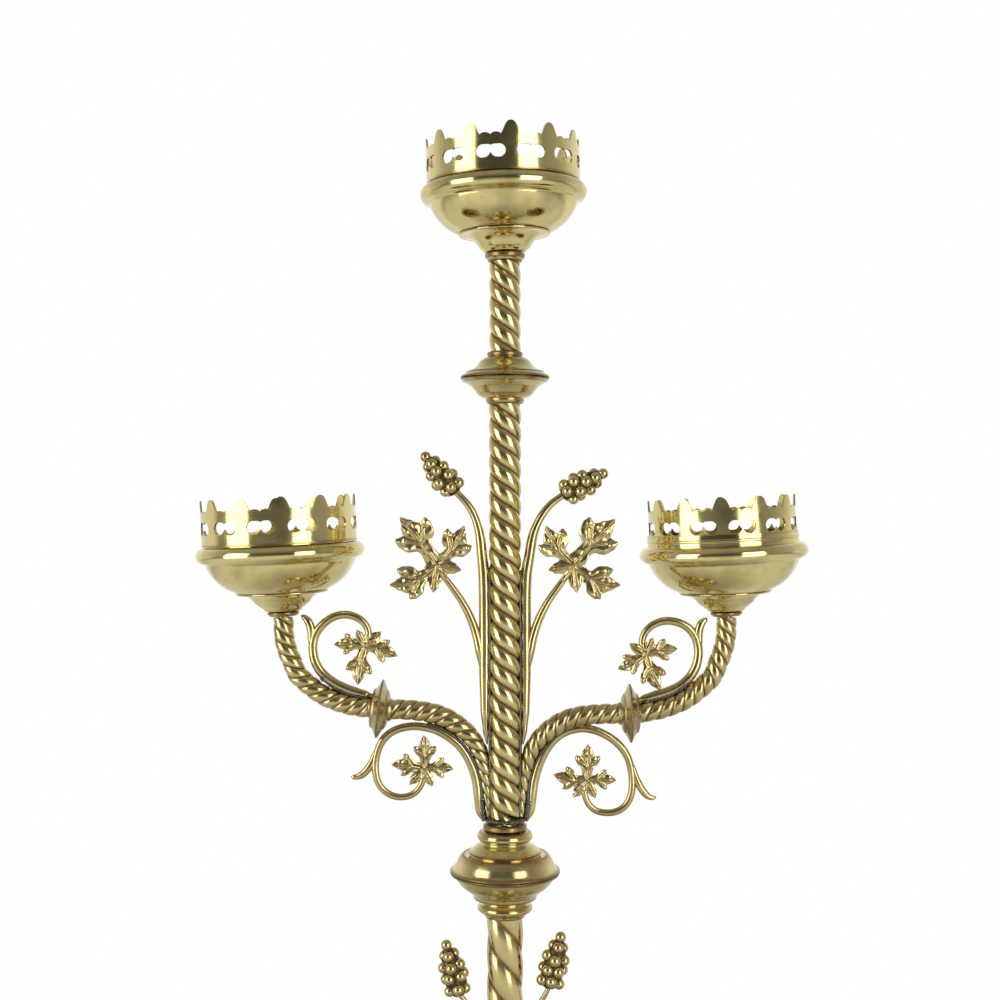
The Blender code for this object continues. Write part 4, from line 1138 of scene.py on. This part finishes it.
def build_cup(label, pattern):
    place = cup_frame(label)
    build_crown(label, pattern)
    inside = label == "right"
    lip_r = 41.2 if inside else 40.6
    lip = [(lip_r - 0.8, 6), (lip_r, 6)]
    if inside:
        lip += [(lip_r, 3.4), (lip_r + 0.35, 3), (lip_r + 0.35, 2.2), (lip_r, 1.8), (lip_r, 0.2)]
    lip += [(lip_r, -0.7)]
    bowl = lip + arc(41.4, -5.0, 4.5, 84, -80, 22) + [(41.6, -9.7)]
    bowl += arc(16.7, -2.0, 25.5, -19.5, -66, 26) + [(26.2, -25.8), (25.8, -26.2)]
    hollow = [(22.3, -26.2), (22.3, -25), (25, -25)] + arc(16.7, -2.0, 24.2, -66, -21, 18)
    hollow += [(38.7, -0.3), (lip_r - 0.8, -0.3)]
    shape = lathe(Shape(), bowl, hollow, place, ease=0.25, segments=160)
    node_piece(label + "_bowl", shape, SPUN, body=label + "_cup")

    foot_r = 11.2 if label == "top" else 9.9
    bell = [(22, -25), (22, -26.3), (24.7, -26.3), (25.1, -26.8), (24.8, -27.5)]
    bell += arc(24.0, -37.6, 10.2, 93, 150, 10) + [(foot_r + 2.6, -34.6), (foot_r + 1.2, -35.6),
                                                   (foot_r + 0.4, -36.4), (foot_r, -37)]
    shape = lathe(Shape(), bell, [(CUP_BORE, -37), (CUP_BORE, -25)], place, ease=0.3, segments=128)
    node_piece(label + "_bell", shape, SPUN, body=label + "_cup")

    socket = [(11.25, 1.4), (11.6, 2), (12.9, 2), (13.2, 1.4), (13.2, 0.6), (12.75, 0.2), (12.75, -12),
              (13.1, -12.5), (13.1, -13.5), (12.75, -14), (12.75, -20.4), (13.8, -22), (16.6, -23.2),
              (17, -23.8), (17, -24.7), (3.175, -24.7), (3.175, -50), (0.3, -50)]
    well = [(0.3, -22), (11.25, -22)]
    shape = lathe(Shape(), socket, well, place, ease=0.3, segments=72)
    node_piece(label + "_socket", shape, DULL, body=label + "_screw_socket")


# --- solder

def seam(shape, route, seed, size=1.0):
    """A thin ragged run of solder along a joint."""
    dice = random.Random(seed)
    stops = [(0.0, 0.3)]
    while stops[-1][0] < 0.97:
        stops.append((stops[-1][0] + dice.uniform(0.015, 0.05), size * dice.uniform(0.55, 1.15)))
    stops.append((1.0, 0.3))
    return wire(shape, route, stops, 0.6, 10, 0.7)


def build_solder(side, label):
    shape = Shape()
    for front, out, seed in ((-2.6, 8.2, 61), (0, 8.4, 62), (2.6, 8.2, 63)):
        route = [(out - 0.6, 281), (out - 0.3, 300), (out, 322), (out, 340), (out + 0.2, 366), (out, 394),
                 (out + 0.1, 418)]
        seam(shape, upright(route, side, front), seed + side, 0.95)
    arm_seam = [(12, 283), (12.6, 291), (13.2, 300), (15.4, 308.6), (19.2, 316.6), (23.8, 322.8),
                (29.4, 327.9), (36, 331.6), (43, 334)]
    knop_seam = [(75.4, 347.6), (83, 349.3), (90, 351.6), (96.5, 355.4), (101.4, 359.8)]
    throat = [(10.6, 280.6), (12, 283.4), (12.4, 287), (12.8, 292)]
    if side > 0:
        knop_seam = raised(knop_seam, -2.0, -2.4)
    for front in (-1.6, 0.8):
        seam(shape, upright(arm_seam, side, front), 71 + side, 0.85)
        seam(shape, upright(knop_seam, side, front), 81 + side, 1.2)
        seam(shape, upright(throat, side, front), 85 + side, 1.3)
    shoulder = []
    shoulder_r, shoulder_z = 10.4, 281.2
    for i in range(13):
        a = math.radians(180 * i / 12 - 90)
        shoulder.append((side * shoulder_r * math.cos(a), shoulder_r * math.sin(a), shoulder_z))
    seam(shape, shoulder, 91 + side, 1.4)
    finish_piece(f"look_{label}_solder", shape, SOLDER, "stand", (), sharp=60)


# --- stage, lights and camera

def build_stage():
    """A pale floor that fades to plain white away from the object. To every ray but the camera's it also
    glows, a painted light that the metal reflects.
    """
    mesh = bpy.data.meshes.new("floor")
    half = 30.0
    mesh.from_pydata([(-half, -half, 0), (half, -half, 0), (half, half, 0), (-half, half, 0)], [],
                     [(0, 1, 2, 3)])
    material, tree, shader = new_material("pale_floor")
    coords = add_node(tree, "ShaderNodeTexCoord").outputs["Object"]
    grain = ramp(tree, noise_field(tree, coords, 30.0, 4.0), 0.3, 0.7, 0.62, 0.66)
    feed(tree, shader.inputs["Base Color"], mix_colour(tree, grain, (0.0, 0.0, 0.0), (1.0, 1.0, 0.99)))
    shader.inputs["Roughness"].default_value = 0.9
    shader.inputs["Specular IOR Level"].default_value = 0.1
    distance = add_node(tree, "ShaderNodeVectorMath", operation="LENGTH", in_Vector=coords).outputs["Value"]
    far = ramp(tree, distance, 0.16, 0.50)
    parts = add_node(tree, "ShaderNodeSeparateXYZ", in_Vector=coords)
    # Painted glow for rays other than the camera's: about half-strength white out to 1.1 m, fading by 2.4 m,
    # stronger behind the object, and none right under it.
    near = ramp(tree, distance, 1.1, 2.4, 0.55, 0.0)
    behind = ramp(tree, parts.outputs["Y"], 0.2, 1.4, 0.0, 0.85)
    painted_glow = maths(tree, "MULTIPLY", ramp(tree, distance, 0.15, 0.45), maths(tree, "MAXIMUM", near, behind))
    seen = add_node(tree, "ShaderNodeLightPath").outputs["Is Camera Ray"]
    white = add_node(tree, "ShaderNodeEmission", in_Strength=1.0)
    blend = add_node(tree, "ShaderNodeMixShader")
    unseen = maths(tree, "MULTIPLY", painted_glow, maths(tree, "SUBTRACT", 1.0, seen))
    share = maths(tree, "ADD", maths(tree, "MULTIPLY", far, seen), unseen)
    for socket, source in zip(blend.inputs, (share, shader.outputs[0], white.outputs[0])):
        feed(tree, socket, source)
    feed(tree, tree.nodes["Material Output"].inputs["Surface"], blend.outputs[0])
    mesh.materials.append(material)
    linked("floor", mesh)


def softbox(name, azimuth, distance, height, width, tall, power):
    """A tall soft light that faces the stem; azimuth 0 is the viewer's side."""
    a = math.radians(azimuth)
    stem_middle = 0.42
    data = bpy.data.lights.new(name, "AREA")
    data.shape = "RECTANGLE"
    data.size = width
    data.size_y = tall
    data.energy = power
    light = linked(name, data)
    light.location = (distance * math.sin(a), -distance * math.cos(a), height)
    aim = Vector((0, 0, stem_middle)) - light.location
    light.rotation_euler = aim.to_track_quat("-Z", "Y").to_euler()
    light.visible_camera = False


def build_world():
    """A pale room: white behind the object, dim on the viewer's side, grey overhead."""
    world = bpy.data.worlds.new("studio")
    bpy.context.scene.world = world
    world.use_nodes = True
    tree = world.node_tree
    tree.nodes.clear()
    coords = add_node(tree, "ShaderNodeTexCoord").outputs["Generated"]
    parts = add_node(tree, "ShaderNodeSeparateXYZ", in_Vector=coords)
    depth = add_node(tree, "ShaderNodeValToRGB", in_Fac=ramp(tree, parts.outputs["Y"], -1.0, 1.0))
    stops = ((0.0, 0.08), (0.12, 0.10), (0.24, 0.30), (0.45, 0.42), (0.62, 0.60), (0.80, 0.95), (1.0, 1.0))
    while len(depth.color_ramp.elements) < len(stops):
        depth.color_ramp.elements.new(0.5)
    for element, (at, value) in zip(depth.color_ramp.elements, stops):
        element.position = at
        element.color = (value, value, value * 0.98, 1.0)
    overhead = ramp(tree, parts.outputs["Z"], 0.25, 0.8, 0.0, 0.75)
    sky = mix_colour(tree, overhead, depth.outputs["Color"], (0.34, 0.345, 0.345))
    seen = add_node(tree, "ShaderNodeLightPath").outputs["Is Camera Ray"]
    shown = mix_colour(tree, seen, sky, (1.0, 1.0, 1.0))
    background = add_node(tree, "ShaderNodeBackground", in_Strength=1.0, in_Color=shown)
    add_node(tree, "ShaderNodeOutputWorld", in_Surface=background.outputs[0])


def build_camera():
    data = bpy.data.cameras.new("camera")
    data.lens = 52.6
    data.sensor_width = 36.0
    data.clip_start = 0.01
    data.clip_end = 100.0
    camera = linked("camera", data)
    camera.location = (-0.00275, -0.803, 0.4565)
    camera.rotation_euler = (math.pi / 2, 0, 0)
    bpy.context.scene.camera = camera


def main():
    build_foot()
    build_stem()
    pattern = crown_mesh()
    for label in ("left", "right", "top"):
        build_cup(label, pattern)
    for label, side in SIDES:
        build_arm(side, label)
        build_scrolls(side, label)
        build_sprigs(side, label)
        build_solder(side, label)
    build_stage()
    softbox("left_softbox", -57.0, 1.25, 0.47, 0.72, 1.2, 8.0)
    softbox("right_softbox", 37.0, 1.25, 0.47, 0.62, 1.2, 7.5)
    build_world()
    build_camera()
    bpy.context.scene.view_settings.view_transform = "Standard"


main()
